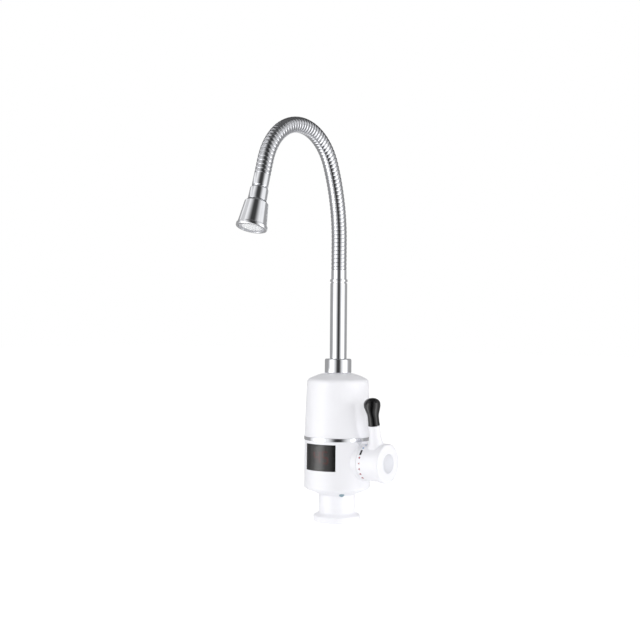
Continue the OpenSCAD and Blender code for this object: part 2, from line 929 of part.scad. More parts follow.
module cartridge_nut() {
  color("goldenrod")
    difference() {
      union() {
        rod_x(cartridge_r, cart_end, valve_front - cart_end + over);
        rod_x(nut_flange_r, valve_front + 0.05, nut_front - valve_front);
      }
      rod_x(cart_neck_r + fit, cart_end - over, nut_front);
    }
}

module spindle() {
  color("goldenrod")
    difference() {
      union() {
        rod_x(disc_r - 0.2, drive_x, drive_t);
        rod_x(spindle_r, drive_x, spindle_end - drive_x);
      }
      rod_x(screw_r + fit, hub_boss_x + 3, spindle_end);
    }
}

// Rubber disc that the water presses on the plunger
module flow_diaphragm() {
  color("black") rod_x(cover_r - 2, cover_x + fit, membrane_t);
}

// Cover of the flow chamber with two lugs that hold the switch
module flow_cover() {
  lug_t = 2;
  lug_h = 14;
  color("dimgray")
    difference() {
      union() {
        rod_x(cover_r, cover_end, cover_len);
        for (sy = [-1, 1])
          translate([switch_x - 2, sy * (switch_half_w + fit + lug_t / 2) - lug_t / 2, valve_z - lug_h / 2])
            cube([cover_end - switch_x + 3, lug_t, lug_h]);
      }
      rod_x(cover_in, cover_end + cover_roof, cover_len);
      rod_x(pin_flow_r + run, cover_end - over, cover_len);
    }
}

module flow_plunger() {
  disc_top = cover_x - plunger_gap;
  color("ivory") {
    rod_x(plunger_r, disc_top - plunger_t, plunger_t);
    rod_x(pin_flow_r, plunger_tip, disc_top - plunger_t - plunger_tip);
  }
}

// Wound spring between the plunger and the cover's end
module flow_spring() {
  x0 = cover_end + cover_roof + spring_wire + 0.1;
  x1 = cover_x - plunger_gap - plunger_t - spring_wire - 0.1;
  steps = 14;
  n = spring_turns * steps;
  points = [for (i = [0 : n])
    let (a = 360 * i / steps)
    [x0 + (x1 - x0) * i / n, spring_r * cos(a), valve_z + spring_r * sin(a)]];
  sides_of = [for (i = [0 : n]) let (a = 360 * i / steps) [0, cos(a), sin(a)]];
  gap = (x1 - x0) / spring_turns - 2 * spring_wire;
  echo(least_gap_of_the_spring = gap);
  color("silver") ring_rod(path_rings(points, sides_of, spring_wire, 6));
}

module microswitch() {
  color("black")
    translate([switch_x - switch_depth, -switch_half_w, valve_z - switch_half_h])
      cube([switch_depth, 2 * switch_half_w, 2 * switch_half_h]);
}

// Places the lid's screws
module at_lid_screws() {
  for (i = [0 : lid_screw_count - 1])
    rotate([0, 0, 360 / lid_screw_count * (i + 0.5)]) translate([lid_screw_pcd, 0, 0]) children();
}

// Heating chamber with the stub on the valve's outlet
module tank() {
  boss_h = 8;
  color("silver")
    difference() {
      union() {
        translate([0, 0, tank_floor]) cylinder(r = tank_r, h = tank_top - tank_floor);
        translate([0, 0, tank_top - flange_t]) cylinder(r = flange_r, h = flange_t);
        translate([-stem_back, 0, stem_z + 0.05]) cylinder(r = stub_r, h = stub_h);
        at_lid_screws()
          translate([0, 0, tank_top - flange_t - boss_h])
            cylinder(r = (flange_r - tank_r) / 2 + 0.3, h = boss_h + 1);
      }
      translate([0, 0, tank_in_z]) cylinder(r = tank_in, h = tank_top);
      translate([-stem_back, 0, stem_z - over]) cylinder(r = stem_out_r + fit, h = stem_h + over + 0.2);
      translate([-stem_back, 0, stem_z]) cylinder(r = outlet_r_in, h = tank_in_z);
      at_lid_screws()
        translate([0, 0, tank_top - lid_screw_len + lid_t - 0.5]) cylinder(r = screw_r + fit, h = tank_top);
      for (p = [leg_out, leg_in])
        translate([p[0], p[1], tank_floor - over]) cylinder(r = coil_tube_r + fit, h = tank_in_z);
    }
}

// Lid with its plug, seal groove and nipple boss
module tank_lid() {
  color("lightsteelblue")
    difference() {
      union() {
        translate([0, 0, tank_top]) cylinder(r = flange_r, h = lid_t);
        translate([0, 0, tank_top - lid_plug_h]) cylinder(r = lid_plug_r, h = lid_plug_h);
        translate([0, 0, tank_top]) cylinder(r = lid_boss_r, h = lid_t + lid_boss_h);
      }
      ring_z(tank_in + over, lid_plug_r - ring_depth, tank_top - 3, ring_t + 2 * fit);
      translate([0, 0, tank_top - lid_plug_h - over]) cylinder(r = bore_r, h = lid_top);
      translate([0, 0, nipple_foot - 0.1]) cylinder(r = nipple_in_r + fit, h = lid_boss_h + lid_t);
      at_lid_screws() translate([0, 0, tank_top - over]) cylinder(r = screw_r + fit, h = lid_top);
    }
}

module lid_screws() {
  color("silver")
    at_lid_screws() {
      translate([0, 0, lid_top - lid_screw_len]) cylinder(r = screw_r, h = lid_screw_len);
      translate([0, 0, lid_top]) cylinder(r = screw_r + 1.2, h = 2);
    }
}

// Wound heater: outer leg, turns, inward turn and inner leg
module heating_element() {
  n = coil_turns * coil_steps;
  half = coil_steps / 2;
  top = coil_z + coil_turns * coil_pitch;
  quarter = 4;
  t0 = coil_dir(coil_start + 90);
  t1 = coil_dir(coil_start + 270);
  foot = [for (z = [leg_foot, coil_z - coil_bend - 0.5]) leg_out + [0, 0, z]];
  rise = [for (i = [0 : quarter - 1])
    let (a = 90 * i / quarter)
    leg_out + coil_bend * (1 - cos(a)) * t0 + [0, 0, coil_z - coil_bend + coil_bend * sin(a)]];
  turns = [for (i = [0 : n])
    coil_r * coil_dir(coil_start + 360 * i / coil_steps) + [0, 0, coil_z + coil_pitch * i / coil_steps]];
  inward = [for (i = [1 : half])
    let (f = i / half, r = coil_r + (coil_in_r - coil_r) * ease(f))
    r * coil_dir(coil_start + 180 * f) + [0, 0, top + coil_lift * sin(90 * f)]];
  drop = [for (i = [1 : quarter])
    let (a = 90 * i / quarter)
    inward[half - 1] + coil_bend * sin(a) * t1 - [0, 0, coil_bend * (1 - cos(a))]];
  leg = [leg_in + [0, 0, leg_foot]];
  side0 = coil_dir(coil_start);
  side1 = coil_dir(coil_start + 180);
  points = concat(foot, rise, turns, inward, drop, leg);
  sides_of = concat(
    [for (i = [1 : 2 + quarter]) side0],
    [for (i = [0 : n]) coil_dir(coil_start + 360 * i / coil_steps)],
    [for (i = [1 : half]) coil_dir(coil_start + 180 * i / half)],
    [for (i = [1 : quarter + 1]) side1]
  );
  echo(least_gap_of_the_heater = coil_pitch - 2 * coil_tube_r);
  color("gray") ring_rod(path_rings(points, sides_of, coil_tube_r, coil_sides));
}

// Overheat switch that sits on the chamber's wall
module thermal_cutout() {
  z = tank_in_z + tank_h / 2;
  color("sandybrown")
    difference() {
      translate([-tank_r - 6, 0, z]) rotate([0, 90, 0]) cylinder(r = 6, h = 7);
      cylinder(r = tank_r + fit, h = tank_top);
    }
}

// Brass outlet that stands in the lid and comes out of the dome
module outlet_nipple() {
  color("goldenrod")
    difference() {
      union() {
        translate([0, 0, nipple_foot]) cylinder(r = nipple_in_r, h = nipple_flange_z - nipple_foot);
        translate([0, 0, nipple_flange_z]) cylinder(r = nipple_flange_r, h = nipple_flange_t);
        translate([0, 0, nipple_flange_z]) cylinder(r = nipple_r, h = nipple_top - nipple_flange_z);
      }
      translate([0, 0, nipple_foot - over]) cylinder(r = tail_bore, h = nipple_top);
      translate([0, 0, tail_foot - 0.4]) cylinder(r = tail_socket_r, h = nipple_top);
      ring_z(nipple_in_r + over, nipple_in_r - ring_depth, nipple_foot + 1.6, ring_t + 2 * fit);
    }
}

// Union nut with a rounded top edge
module spout_nut() {
  round_r = 1.6;
  color("silver")
    difference() {
      rotate_extrude()
        polygon(concat(
          [[nipple_r + fit, dome_top + 0.02], [nut_r - 0.5, dome_top + 0.02], [nut_r, dome_top + 0.6]],
          arc(nut_r - round_r, nut_top - round_r, round_r, 0, 90, 6),
          [[tube_r + run, nut_top], [tube_r + run, roof_z], [nipple_r + 1.5, roof_z]],
          [[nipple_r + 1.5, nipple_top - 0.4], [nipple_r + fit, nipple_top - 0.8]]
        ));
    }
}

// Spout's end piece with two ring grooves
module spout_tail() {
  color("goldenrod")
    difference() {
      union() {
        translate([0, 0, tail_foot]) cylinder(r = tail_r, h = nipple_top + fit - tail_foot + 0.5);
        translate([0, 0, nipple_top + fit]) cylinder(r = tail_flange_r, h = tail_flange_t);
      }
      translate([0, 0, tail_foot - over]) cylinder(r = tail_bore, h = tube_foot);
      for (z = tail_ring_z) ring_z(tail_r + over, tail_r - ring_depth, z, ring_t + 2 * fit);
    }
}

module spout_orings() {
  color("black")
    for (z = tail_ring_z) ring_z(tail_r + run / 2, tail_r - ring_depth + 0.05, z + fit, ring_t);
}

module glide_ring() {
  color("whitesmoke") ring_z(nipple_r + 1.3, tube_r + fit, tube_foot + 0.1, glide_t);
}

module spout_tube() {
  color("silver") ring_z(tube_r, tube_in, tube_foot, tube_top - tube_foot);
}

// End fitting between the tube and the hose
module lower_ferrule() {
  plug_len = 10;
  groove = 0.35;
  color("silver")
    rotate_extrude()
      polygon([
        [liner_r + fit, tube_top - plug_len],
        [tube_in - fit, tube_top - plug_len],
        [tube_in - fit, tube_top],
        [tube_r - groove, tube_top],
        [tube_r - groove, tube_top + groove],
        [ferrule_rim_r, tube_top + 2 * groove],
        [ferrule_rim_r, tube_top + ferrule_rim_t - groove],
        [ferrule_rim_r - groove, tube_top + ferrule_rim_t],
        [hose_r, tube_top + ferrule_rim_t],
        [hose_r, tube_top + ferrule_len],
        [liner_r + fit, tube_top + ferrule_len]
      ]);
}

// Inner hose along the whole route, from inside the tube to the head
module hose_liner() {
  wall = 1.5;
  first = -8;
  last = hose_len + 8;
  steps = 36;
  outer = [for (i = [0 : steps]) hose_ring(first + (last - first) * i / steps, liner_r)];
  inner = [for (i = [0 : steps]) hose_ring(last + (first - last) * i / steps, liner_r - wall)];
  color("lightgray") ring_loop(concat(outer, inner));
}

// Ribbed steel hose: ribs outside, a plain bore inside
module hose() {
  outer = [for (i = [0 : 2 * rib_count])
    hose_ring(rib_start + rib_step * i / 2, i % 2 == 0 ? groove_r : hose_r)];
  inner = [for (i = [0 : bore_steps])
    hose_ring(rib_end + (rib_start - rib_end) * i / bore_steps, hose_bore)];
  color("silver") ring_loop(concat(outer, inner));
}

// End fitting of the hose at the head
module upper_ferrule() {
  color("silver")
    on_head()
      difference() {
        translate([0, 0, -ferrule_top_len]) cylinder(r = hose_r, h = ferrule_top_len);
        translate([0, 0, -ferrule_top_len - over])
          cylinder(r = liner_r + fit, h = ferrule_top_len + 2 * over);
      }
}

// Collar of the head with the stem that the bell slides on
module head_collar() {
  edge = 1;
  color("silver")
    on_head()
      rotate_extrude()
        polygon([
          [liner_r + fit, 0],
          [hose_r - 1.3, 0],
          [hose_r - 1.3, groove_len],
          [collar_r - edge, groove_len],
          [collar_r - 0.3, groove_len + edge],
          [collar_r, collar_len],
          [head_stem_r, collar_len],
          [head_stem_r, head_ring_z],
          [head_stem_r - ring_depth, head_ring_z],
          [head_stem_r - ring_depth, head_ring_z + ring_t + 2 * fit],
          [head_stem_r, head_ring_z + ring_t + 2 * fit],
          [head_stem_r, head_stem_end],
          [tail_bore, head_stem_end],
          [tail_bore, 8.2],
          [liner_r + fit, 8.2]
        ]);
}

module head_oring() {
  color("black")
    on_head() ring_z(head_stem_r + run / 2, head_stem_r - ring_depth + 0.05, head_ring_z + fit, ring_t);
}

// Sliding bell with its rim
module head_bell() {
  edge = 0.8;
  color("silver")
    on_head()
      rotate_extrude()
        polygon(concat(
          [
            [head_stem_r + run, bell_start],
            [collar_r + 0.2, bell_start],
            [bell_top_r, bell_start + 2.4],
            [bell_low_r, rim_start - 0.6]
          ],
          arc(rim_r - edge, rim_start + edge, edge, -60, 0, 3),
          arc(rim_r - edge, bell_end - edge, edge, 0, 90, 4),
          [
            [bell_cup_r, bell_end],
            [bell_cup_r, bell_cup_z],
            [head_stem_r + 2, bell_slide_end + 2],
            [head_stem_r + 2, bell_slide_end],
            [head_stem_r + run, bell_slide_end]
          ]
        ));
}

// Insert that holds the mesh and the outlet disc
module aerator() {
  color("whitesmoke")
    on_head()
      rotate_extrude()
        polygon([
          [outlet_r - 1.6, aerator_z],
          [bell_cup_r - fit, aerator_z],
          [bell_cup_r - fit, aerator_end],
          [outlet_r + fit, aerator_end],
          [outlet_r + fit, plate_z],
          [outlet_r - 1.6, plate_z]
        ]);
}

module aerator_screen() {
  hole_r = 0.7;
  color("silver")
    on_head()
      difference() {
        translate([0, 0, screen_z]) cylinder(r = outlet_r - 1.7, h = 0.6);
        for (k = [1 : 3], i = [0 : 6 * k - 1])
          rotate([0, 0, 60 / k * i])
            translate([k * 2.4, 0, screen_z - over]) cylinder(r = hole_r, h = 3, $fn = 16);
      }
}

// Pale outlet disc with rings of nozzles
module nozzle_plate() {
  nozzle_r = 0.85;
  nozzle_h = 0.5;
  hole_r = 0.4;
  step = (outlet_r - 2.2) / 3;
  color("whitesmoke")
    on_head()
      difference() {
        union() {
          translate([0, 0, plate_z + 0.05]) cylinder(r = outlet_r, h = plate_t);
          for (k = [1 : 3], i = [0 : 6 * k - 1])
            rotate([0, 0, 60 / k * i])
              translate([k * step, 0, plate_z + plate_t / 2])
                cylinder(r = nozzle_r, h = plate_t / 2 + nozzle_h, $fn = 16);
        }
        for (k = [1 : 3], i = [0 : 6 * k - 1])
          rotate([0, 0, 60 / k * i])
            translate([k * step, 0, plate_z - over]) cylinder(r = hole_r, h = 5, $fn = 16);
      }
}

// Handle: dial skirt, cap, hub boss, flared lever stem and the pin for the grip
module handle() {
  edge = 0.8;
  color("white")
    difference() {
      union() {
        on_valve_axis()
          rotate_extrude()
            polygon(concat(
              [[0, skirt_x], [barrel_r, skirt_x], [barrel_r, cap_x]],
              arc(cap_r - edge, cap_x + edge, edge, -90, 0, 3),
              arc(cap_r - cap_round, cap_end - cap_round, cap_round, 0, 90, 5),
              [[0, cap_end]]
            ));
        on_lever() {
          rotate_extrude()
            polygon(concat(
              [[0, flare_top - flare_r * sin(flare_angle)]],
              arc(stem_r + flare_r, flare_top, flare_r, 180 + flare_angle, 180, 6),
              [[stem_r, grip_start - fit], [0, grip_start - fit]]
            ));
          cylinder(r = pin_r, h = grip_start + pin_len);
        }
      }
      on_valve_axis()
        rotate_extrude()
          polygon([
            [hub_boss_r, hub_boss_x],
            [hub_boss_r, hub_floor],
            [shell_in, hub_floor],
            [shell_in, skirt_x - over],
            [0, skirt_x - over],
            [0, hub_boss_x]
          ]);
      rod_x(spindle_r + fit, skirt_x, spindle_end + fit - skirt_x);
      rod_x(screw_r + fit, skirt_x, cap_end);
      rod_x(screw_head_r + fit, screw_head_x, cap_end);
      rod_x(plug_r + fit, plug_x, cap_len);
      marks_shape(0.04, -mark_count, mark_count, true);
    }
}

// Round plug over the screw, with the bowl in its face
module handle_plug() {
  sphere_r = (bowl_r * bowl_r + bowl_depth * bowl_depth) / (2 * bowl_depth);
  slope = asin(bowl_r / sphere_r);
  steps = 6;
  color("whitesmoke")
    on_valve_axis()
      rotate_extrude()
        polygon(concat(
          [[0, plug_x + fit], [plug_r, plug_x + fit], [plug_r, cap_end]],
          arc(0, bowl_x + sphere_r, sphere_r, slope - 90, slope / steps - 90, steps - 1),
          [[0, bowl_x]]
        ));
}

module handle_screw() {
  color("silver") {
    rod_x(screw_head_r, screw_head_x + 0.05, screw_head_t);
    rod_x(screw_r, hub_boss_x + 4, screw_head_x - hub_boss_x - 3.9);
  }
}

// One mark on the dial: a bar for off, growing triangles beside it
module mark(i, grow) {
  size = 0.9 + 0.2 * abs(i);
  rotate([off_angle + mark_step * i, 0, 0])
    translate([mark_x, 0, barrel_r - mark_in - grow]) {
      if (i == 0)
        translate([-1.1 - grow, -3 - grow, 0]) cube([2.2 + 2 * grow, 6 + 2 * grow, 3]);
      else
        rotate([0, 0, 180]) cylinder(r = size + grow, h = 3, $fn = abs(i) == 1 ? 16 : 3);
    }
}

// Marks from one number to another, cut to the dial's surface unless they are cutters
module marks_shape(grow, from, to, cutter) {
  translate([0, 0, valve_z])
    intersection() {
      for (i = [from : to]) mark(i, grow);
      translate([mark_x - 5, 0, 0])
        rotate([0, 90, 0]) cylinder(r = cutter ? barrel_r + 3 : barrel_r + mark_out, h = 10, $fn = fine);
    }
}

module off_mark() {
  color("black") marks_shape(0, 0, 0, false);
}

module hot_marks() {
  color("firebrick") marks_shape(0, 1, mark_count, false);
}

module cold_marks() {
  color("royalblue") marks_shape(0, -mark_count, -1, false);
}

// Radius of the grip at a share of its length, without its round top
function grip_r(t) =
  grip_waist_r + (grip_head_r - grip_waist_r) * ease((t - 0.3) / 0.45) + 0.4 * pow(max(0, 1 - t / 0.16), 2);

// Black grip on the lever's pin
module grip() {
  steps = 14;
  top_share = 0.78;
  dome_len = grip_len * (1 - top_share);
  body = [for (i = [0 : steps])
    let (t = top_share * i / steps)
    [grip_r(t), grip_start + t * grip_len]];
  dome = [for (i = [1 : 7])
    let (a = 90 * i / 7)
    [i == 7 ? 0 : grip_r(top_share) * cos(a), grip_start + grip_len * top_share + dome_len * sin(a)]];
  color("black")
    on_lever()
      difference() {
        rotate_extrude() polygon(concat([[0, grip_start]], body, dome));
        translate([0, 0, grip_start - over]) cylinder(r = pin_r + fit, h = pin_len + over + fit);
      }
}

module control_board() {
  color("darkgreen")
    translate([-board_half_w, board_y, board_z]) cube([2 * board_half_w, board_t, board_h]);
}

module relay() {
  depth = board_y - valve_r - 1.1;
  color("royalblue")
    translate([-15, board_y - 0.05 - depth, board_z + 10]) cube([15, depth, 17]);
}

// Mains terminals with three wells
module terminal_block() {
  well_r = 1.8;
  color("ivory")
    difference() {
      translate([-block_half_w, block_y, ledge_z + 0.05]) cube([2 * block_half_w, block_depth, block_h]);
      for (i = [-1 : 1])
        translate([i * 7, block_y + block_depth / 2, ledge_z + 4]) cylinder(r = well_r, h = block_h);
    }
}

// Cable gland at the back
module cable_gland() {
  edge = 0.8;
  y_end = pad_y + gland_flange_t;
  color("gray")
    translate([0, 0, gland_z])
      rotate([-90, 0, 0])
        rotate_extrude()
          polygon([
            [gland_r, gland_in],
            [gland_body_r, gland_in],
            [gland_body_r, pad_y + 0.05],
            [gland_flange_r, pad_y + 0.05],
            [gland_flange_r, y_end - edge],
            [gland_flange_r - edge, y_end],
            [gland_r, y_end]
          ]);
}

foot();
foot_gasket();
inlet_insert();
inlet_washer();
inlet_filter();
base_lock_nut();
lower_shell();
upper_shell();
trim_belt();
display_window();
digit_frame();
led_digits();
display_board();
blue_marker();
dial_pointer();
valve_body();
seal_rings();
fixed_disc();
cartridge_body();
cartridge_nut();
flow_diaphragm();
flow_cover();
flow_plunger();
flow_spring();
microswitch();
tank();
tank_lid();
lid_screws();
heating_element();
thermal_cutout();
outlet_nipple();
spout_nut();
control_board();
relay();
terminal_block();
cable_gland();
handle();
off_mark();
hot_marks();
cold_marks();
grip();
handle_plug();
handle_screw();
spindle();
moving_disc();
spout_tail();
spout_orings();
glide_ring();
spout_tube();
lower_ferrule();
hose_liner();
hose();
upper_ferrule();
head_collar();
head_oring();
head_bell();
aerator();
aerator_screen();
nozzle_plate();
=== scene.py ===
import math
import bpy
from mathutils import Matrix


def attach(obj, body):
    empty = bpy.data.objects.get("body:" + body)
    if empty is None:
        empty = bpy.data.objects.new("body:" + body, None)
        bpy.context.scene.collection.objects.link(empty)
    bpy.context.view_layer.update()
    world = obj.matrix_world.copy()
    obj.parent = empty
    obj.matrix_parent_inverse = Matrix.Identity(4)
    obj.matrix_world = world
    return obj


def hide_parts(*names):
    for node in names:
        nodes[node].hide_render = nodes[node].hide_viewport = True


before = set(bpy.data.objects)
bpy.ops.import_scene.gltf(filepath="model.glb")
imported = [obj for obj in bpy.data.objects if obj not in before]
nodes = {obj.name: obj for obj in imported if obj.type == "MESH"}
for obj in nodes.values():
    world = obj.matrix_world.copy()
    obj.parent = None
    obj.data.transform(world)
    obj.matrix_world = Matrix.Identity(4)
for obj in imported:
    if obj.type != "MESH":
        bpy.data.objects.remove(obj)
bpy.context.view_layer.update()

from types import SimpleNamespace as Sizes

import bmesh
import bpy
from mathutils import Matrix, Quaternion, Vector

mm = 0.001
print("stage: frame loaded,", len(nodes), "nodes")


def hexToLinear(code):
    parts = [int(code[i:i + 2], 16) / 255 for i in (1, 3, 5)]
    return [p / 12.92 if p <= 0.04045 else ((p + 0.055) / 1.055) ** 2.4 for p in parts] + [1.0]


# a node given as an input stands for its first output
def addNode(tree, kind, settings=(), inputs=()):
    node = tree.nodes.new(kind)
    for key, value in dict(settings).items():
        setattr(node, key, value)
    for key, value in dict(inputs).items():
        if isinstance(value, bpy.types.Node):
            value = value.outputs[0]
        if isinstance(value, bpy.types.NodeSocket):
            tree.links.new(value, node.inputs[key])
        else:
            node.inputs[key].default_value = value
    return node


# heights and angles of the tap's own axes, in millimetres and degrees
axes = {"valveHeight": 65.2, "glandHeight": 44.0, "leverReach": 51.2, "leverLean": 10.5}
# the hose's route: straight, a slow bend, the main bend, straight; the angles are from upright towards -Y
route = {
    "start": 252.9, "rise": 44.0, "bend1": 196.0, "angle1": 24.0, "bend2": 59.0, "angle2": 163.0, "drop": 28.0,
}


# a piece's own axis as a matrix from its millimetres to metres; the last angle carries it round the tap
def placeAt(x, z, degrees, about, roundTap=0):
    return (
        Matrix.Rotation(math.radians(roundTap), 4, "Z") @ Matrix.Translation((x * mm, 0, z * mm))
        @ Matrix.Rotation(math.radians(degrees), 4, about) @ Matrix.Scale(mm, 4)
    )


def hosePoint(along):
    r = Sizes(**route)
    a1, a2 = math.radians(r.angle1), math.radians(r.angle2)
    len1, len2 = r.bend1 * a1, r.bend2 * (a2 - a1)
    reach, height = 0.0, r.start + min(along, r.rise)
    along -= r.rise
    if along > 0:
        a = min(along, len1) / r.bend1
        reach += r.bend1 * (1 - math.cos(a))
        height += r.bend1 * math.sin(a)
        along -= len1
    if along > 0:
        a = a1 + min(along, len2) / r.bend2
        reach += r.bend2 * (math.cos(a1) - math.cos(a))
        height += r.bend2 * (math.sin(a) - math.sin(a1))
        along -= len2
    if along > 0:
        reach += along * math.sin(a2)
        height += along * math.cos(a2)
    return Vector((0, -reach, height))


hoseLength = (
    route["rise"] + route["drop"] + route["bend1"] * math.radians(route["angle1"])
    + route["bend2"] * math.radians(route["angle2"] - route["angle1"])
)
tapAxis = Matrix.Scale(mm, 4)
valveAxis = placeAt(0, axes["valveHeight"], 90, "Y")
glandAxis = placeAt(0, axes["glandHeight"], -90, "X")
leverAxis = placeAt(axes["leverReach"], axes["valveHeight"], axes["leverLean"], "X")
headAxis = (
    Matrix.Translation(hosePoint(hoseLength) * mm)
    @ Matrix.Rotation(math.radians(route["angle2"]), 4, "X") @ Matrix.Scale(mm, 4)
)

# a slighter turn of an outline stays as it is, and a rounding takes no more than this share of a side
rounding = {"leastTurn": 0.26, "mostShare": 0.45, "wideTurn": 1.2, "steps": 4, "wideSteps": 6}
weldWithin = 2e-7  # metres
onAxis = 1e-6  # millimetres; a smaller radius is a point on the axis
bevelFrom = 40  # degrees; a slighter edge isn't bevelled


# rounds the corners of an outline; a third number is that corner's own radius
def softCorners(outline, radius, closed):
    count = len(outline)
    result = []
    for i, corner in enumerate(outline):
        here = Vector(corner[:2])
        own = corner[2] if len(corner) > 2 else radius
        if own <= 0 or (not closed and i in (0, count - 1)):
            result.append(tuple(here))
            continue
        before = Vector(outline[i - 1][:2]) - here
        after = Vector(outline[(i + 1) % count][:2]) - here
        turn = math.pi - before.angle(after)
        if turn < rounding["leastTurn"]:
            result.append(tuple(here))
            continue
        most = rounding["mostShare"]
        reach = min(own * math.tan(turn / 2), before.length * most, after.length * most)
        start, end = here + before.normalized() * reach, here + after.normalized() * reach
        steps = rounding["steps"] if turn < rounding["wideTurn"] else rounding["wideSteps"]
        for k in range(steps + 1):
            t = k / steps
            result.append(tuple(start * (1 - t) ** 2 + here * 2 * t * (1 - t) + end * t * t))
    return result


def finishMesh(name, bm, sharpAngle=34):
    bmesh.ops.remove_doubles(bm, verts=bm.verts, dist=weldWithin)
    bmesh.ops.recalc_face_normals(bm, faces=bm.faces)
    mesh = bpy.data.meshes.new(name)
    bm.to_mesh(mesh)
    bm.free()
    mesh.shade_smooth()
    mesh.set_sharp_from_angle(angle=math.radians(sharpAngle))
    return mesh


def ringAt(bm, place, radius, height, sides):
    angles = (2 * math.pi * k / sides for k in range(sides))
    return [bm.verts.new(place @ Vector((radius * math.cos(a), radius * math.sin(a), height))) for a in angles]


# faces between neighbouring rings; a ring on the axis is one point taken many times
def joinRings(bm, rings, closed):
    for i in range(len(rings) if closed else len(rings) - 1):
        low, high = rings[i], rings[(i + 1) % len(rings)]
        for k in range(len(low)):
            n = (k + 1) % len(low)
            bm.faces.new(list(dict.fromkeys([low[k], low[n], high[n], high[k]])))


# turns an outline of (radius, height) round an axis; an outline off the axis closes on itself
def turned(name, outline, place=tapAxis, soft=0.25, sides=144, sharpAngle=34):
    closed = outline[0][0] > 0
    bm = bmesh.new()
    rings = []
    for radius, height in softCorners(outline, soft, closed):
        if radius < onAxis:
            rings.append([bm.verts.new(place @ Vector((0, 0, height)))] * sides)
        else:
            rings.append(ringAt(bm, place, radius, height, sides))
    joinRings(bm, rings, closed)
    return finishMesh(name, bm, sharpAngle)


def discOutline(radius, low, high, edge=0):
    return [(0, low), (radius, low, 0), (radius, high, edge), (0, high)]


# a shallow dome of that radius and height, from its edge to its top
def domeOutline(radius, crown, base, count):
    ball = (radius ** 2 + crown ** 2) / (2 * crown)
    slope = math.asin(radius / ball)
    steps = [slope * (1 - k / count) for k in range(count + 1)]
    return [(ball * math.sin(a), base + crown - ball * (1 - math.cos(a)), 0) for a in steps]


# pushes an outline of (x, y) from one height to another along an axis
def prism(name, outline, low, high, place):
    bm = bmesh.new()
    bottom = [bm.verts.new(place @ Vector((x, y, low))) for x, y in outline]
    top = [bm.verts.new(place @ Vector((x, y, high))) for x, y in outline]
    bm.faces.new(bottom)
    bm.faces.new(top)
    for k in range(len(outline)):
        n = (k + 1) % len(outline)
        bm.faces.new([bottom[k], bottom[n], top[n], top[k]])
    return finishMesh(name, bm)


# a stretch of a round wall, centred on -Y
def wallSector(name, halfAngle, inner, outer, low, high, steps=40):
    outline = []
    for radius, order in ((outer, range(steps + 1)), (inner, range(steps, -1, -1))):
        for k in order:
            a = math.radians(-90 - halfAngle + 2 * halfAngle * k / steps)
            outline.append((radius * math.cos(a), radius * math.sin(a)))
    return prism(name, outline, low, high, tapAxis)


def asObject(data):
    piece = bpy.data.objects.new(data.name, data)
    bpy.context.scene.collection.objects.link(piece)
    return piece


# what the modifiers make, as a plain mesh
def evaluatedMesh(piece):
    bpy.context.view_layer.update()
    result = bpy.data.meshes.new_from_object(piece.evaluated_get(bpy.context.evaluated_depsgraph_get()))
    piece.modifiers.clear()
    return result


def smoothAgain(piece):
    bm = bmesh.new()
    bm.from_mesh(piece.data)
    piece.data = finishMesh(piece.name, bm)


def combine(piece, toolMesh, operation):
    tool = asObject(toolMesh)
    modifier = piece.modifiers.new("combine", "BOOLEAN")
    modifier.object = tool
    modifier.operation = operation
    modifier.solver = "EXACT"
    piece.data = evaluatedMesh(piece)
    bpy.data.objects.remove(tool)


def roundEdges(piece, width, steps=3):
    modifier = piece.modifiers.new("round", "BEVEL")
    modifier.width = width * mm
    modifier.segments = steps
    modifier.limit_method = "ANGLE"
    modifier.angle_limit = math.radians(bevelFrom)
    piece.data = evaluatedMesh(piece)
    smoothAgain(piece)
    return piece


def addPiece(piece, material, body, slotName, *replaced):
    if not isinstance(piece, bpy.types.Object):
        piece = asObject(piece)
    piece.data.materials.clear()
    piece.data.materials.append(material)
    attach(piece, body)
    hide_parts(*replaced)


def plainMaterial(name):
    material = bpy.data.materials.new(name)
    material.use_nodes = True
    return material, material.node_tree, material.node_tree.nodes["Principled BSDF"]


def newMaterial(name):
    material, tree, shader = plainMaterial(name)
    return material, tree, shader, addNode(tree, "ShaderNodeTexCoord").outputs["Object"]


# noise whose grains are that many millimetres across
def grain(tree, place, size, detail=2.0, stretch=(1, 1, 1)):
    scaled = addNode(tree, "ShaderNodeMapping", {}, {"Vector": place, "Scale": stretch})
    return addNode(
        tree, "ShaderNodeTexNoise", {},
        {"Vector": scaled, "Scale": 1 / (size * mm), "Detail": detail, "Roughness": 0.5},
    ).outputs["Fac"]


# one of the shader's numbers between two ends; noise seldom leaves its middle, so that is spread over the span
def vary(tree, shader, socket, pattern, low, high):
    level = addNode(
        tree, "ShaderNodeMapRange", {},
        {"Value": pattern, "From Min": 0.3, "From Max": 0.7, "To Min": low, "To Max": high},
    )
    tree.links.new(level.outputs[0], shader.inputs[socket])


def tint(tree, shader, pattern, dark, light):
    mix = addNode(
        tree, "ShaderNodeMix", {"data_type": "RGBA"},
        {"Factor": pattern, "A": hexToLinear(dark), "B": hexToLinear(light)},
    )
    tree.links.new(mix.outputs["Result"], shader.inputs["Base Color"])


# the depth is in millimetres
def relief(tree, shader, pattern, depth):
    bump = addNode(tree, "ShaderNodeBump", {}, {"Height": pattern, "Distance": depth * mm, "Strength": 1.0})
    tree.links.new(bump.outputs["Normal"], shader.inputs["Normal"])


# how far apart the slow changes in a finish are, in millimetres
spread = {"flowMarks": 22, "mouldGloss": 5, "tarnish": 9, "inkCover": 0.6, "inkGloss": 1.0}


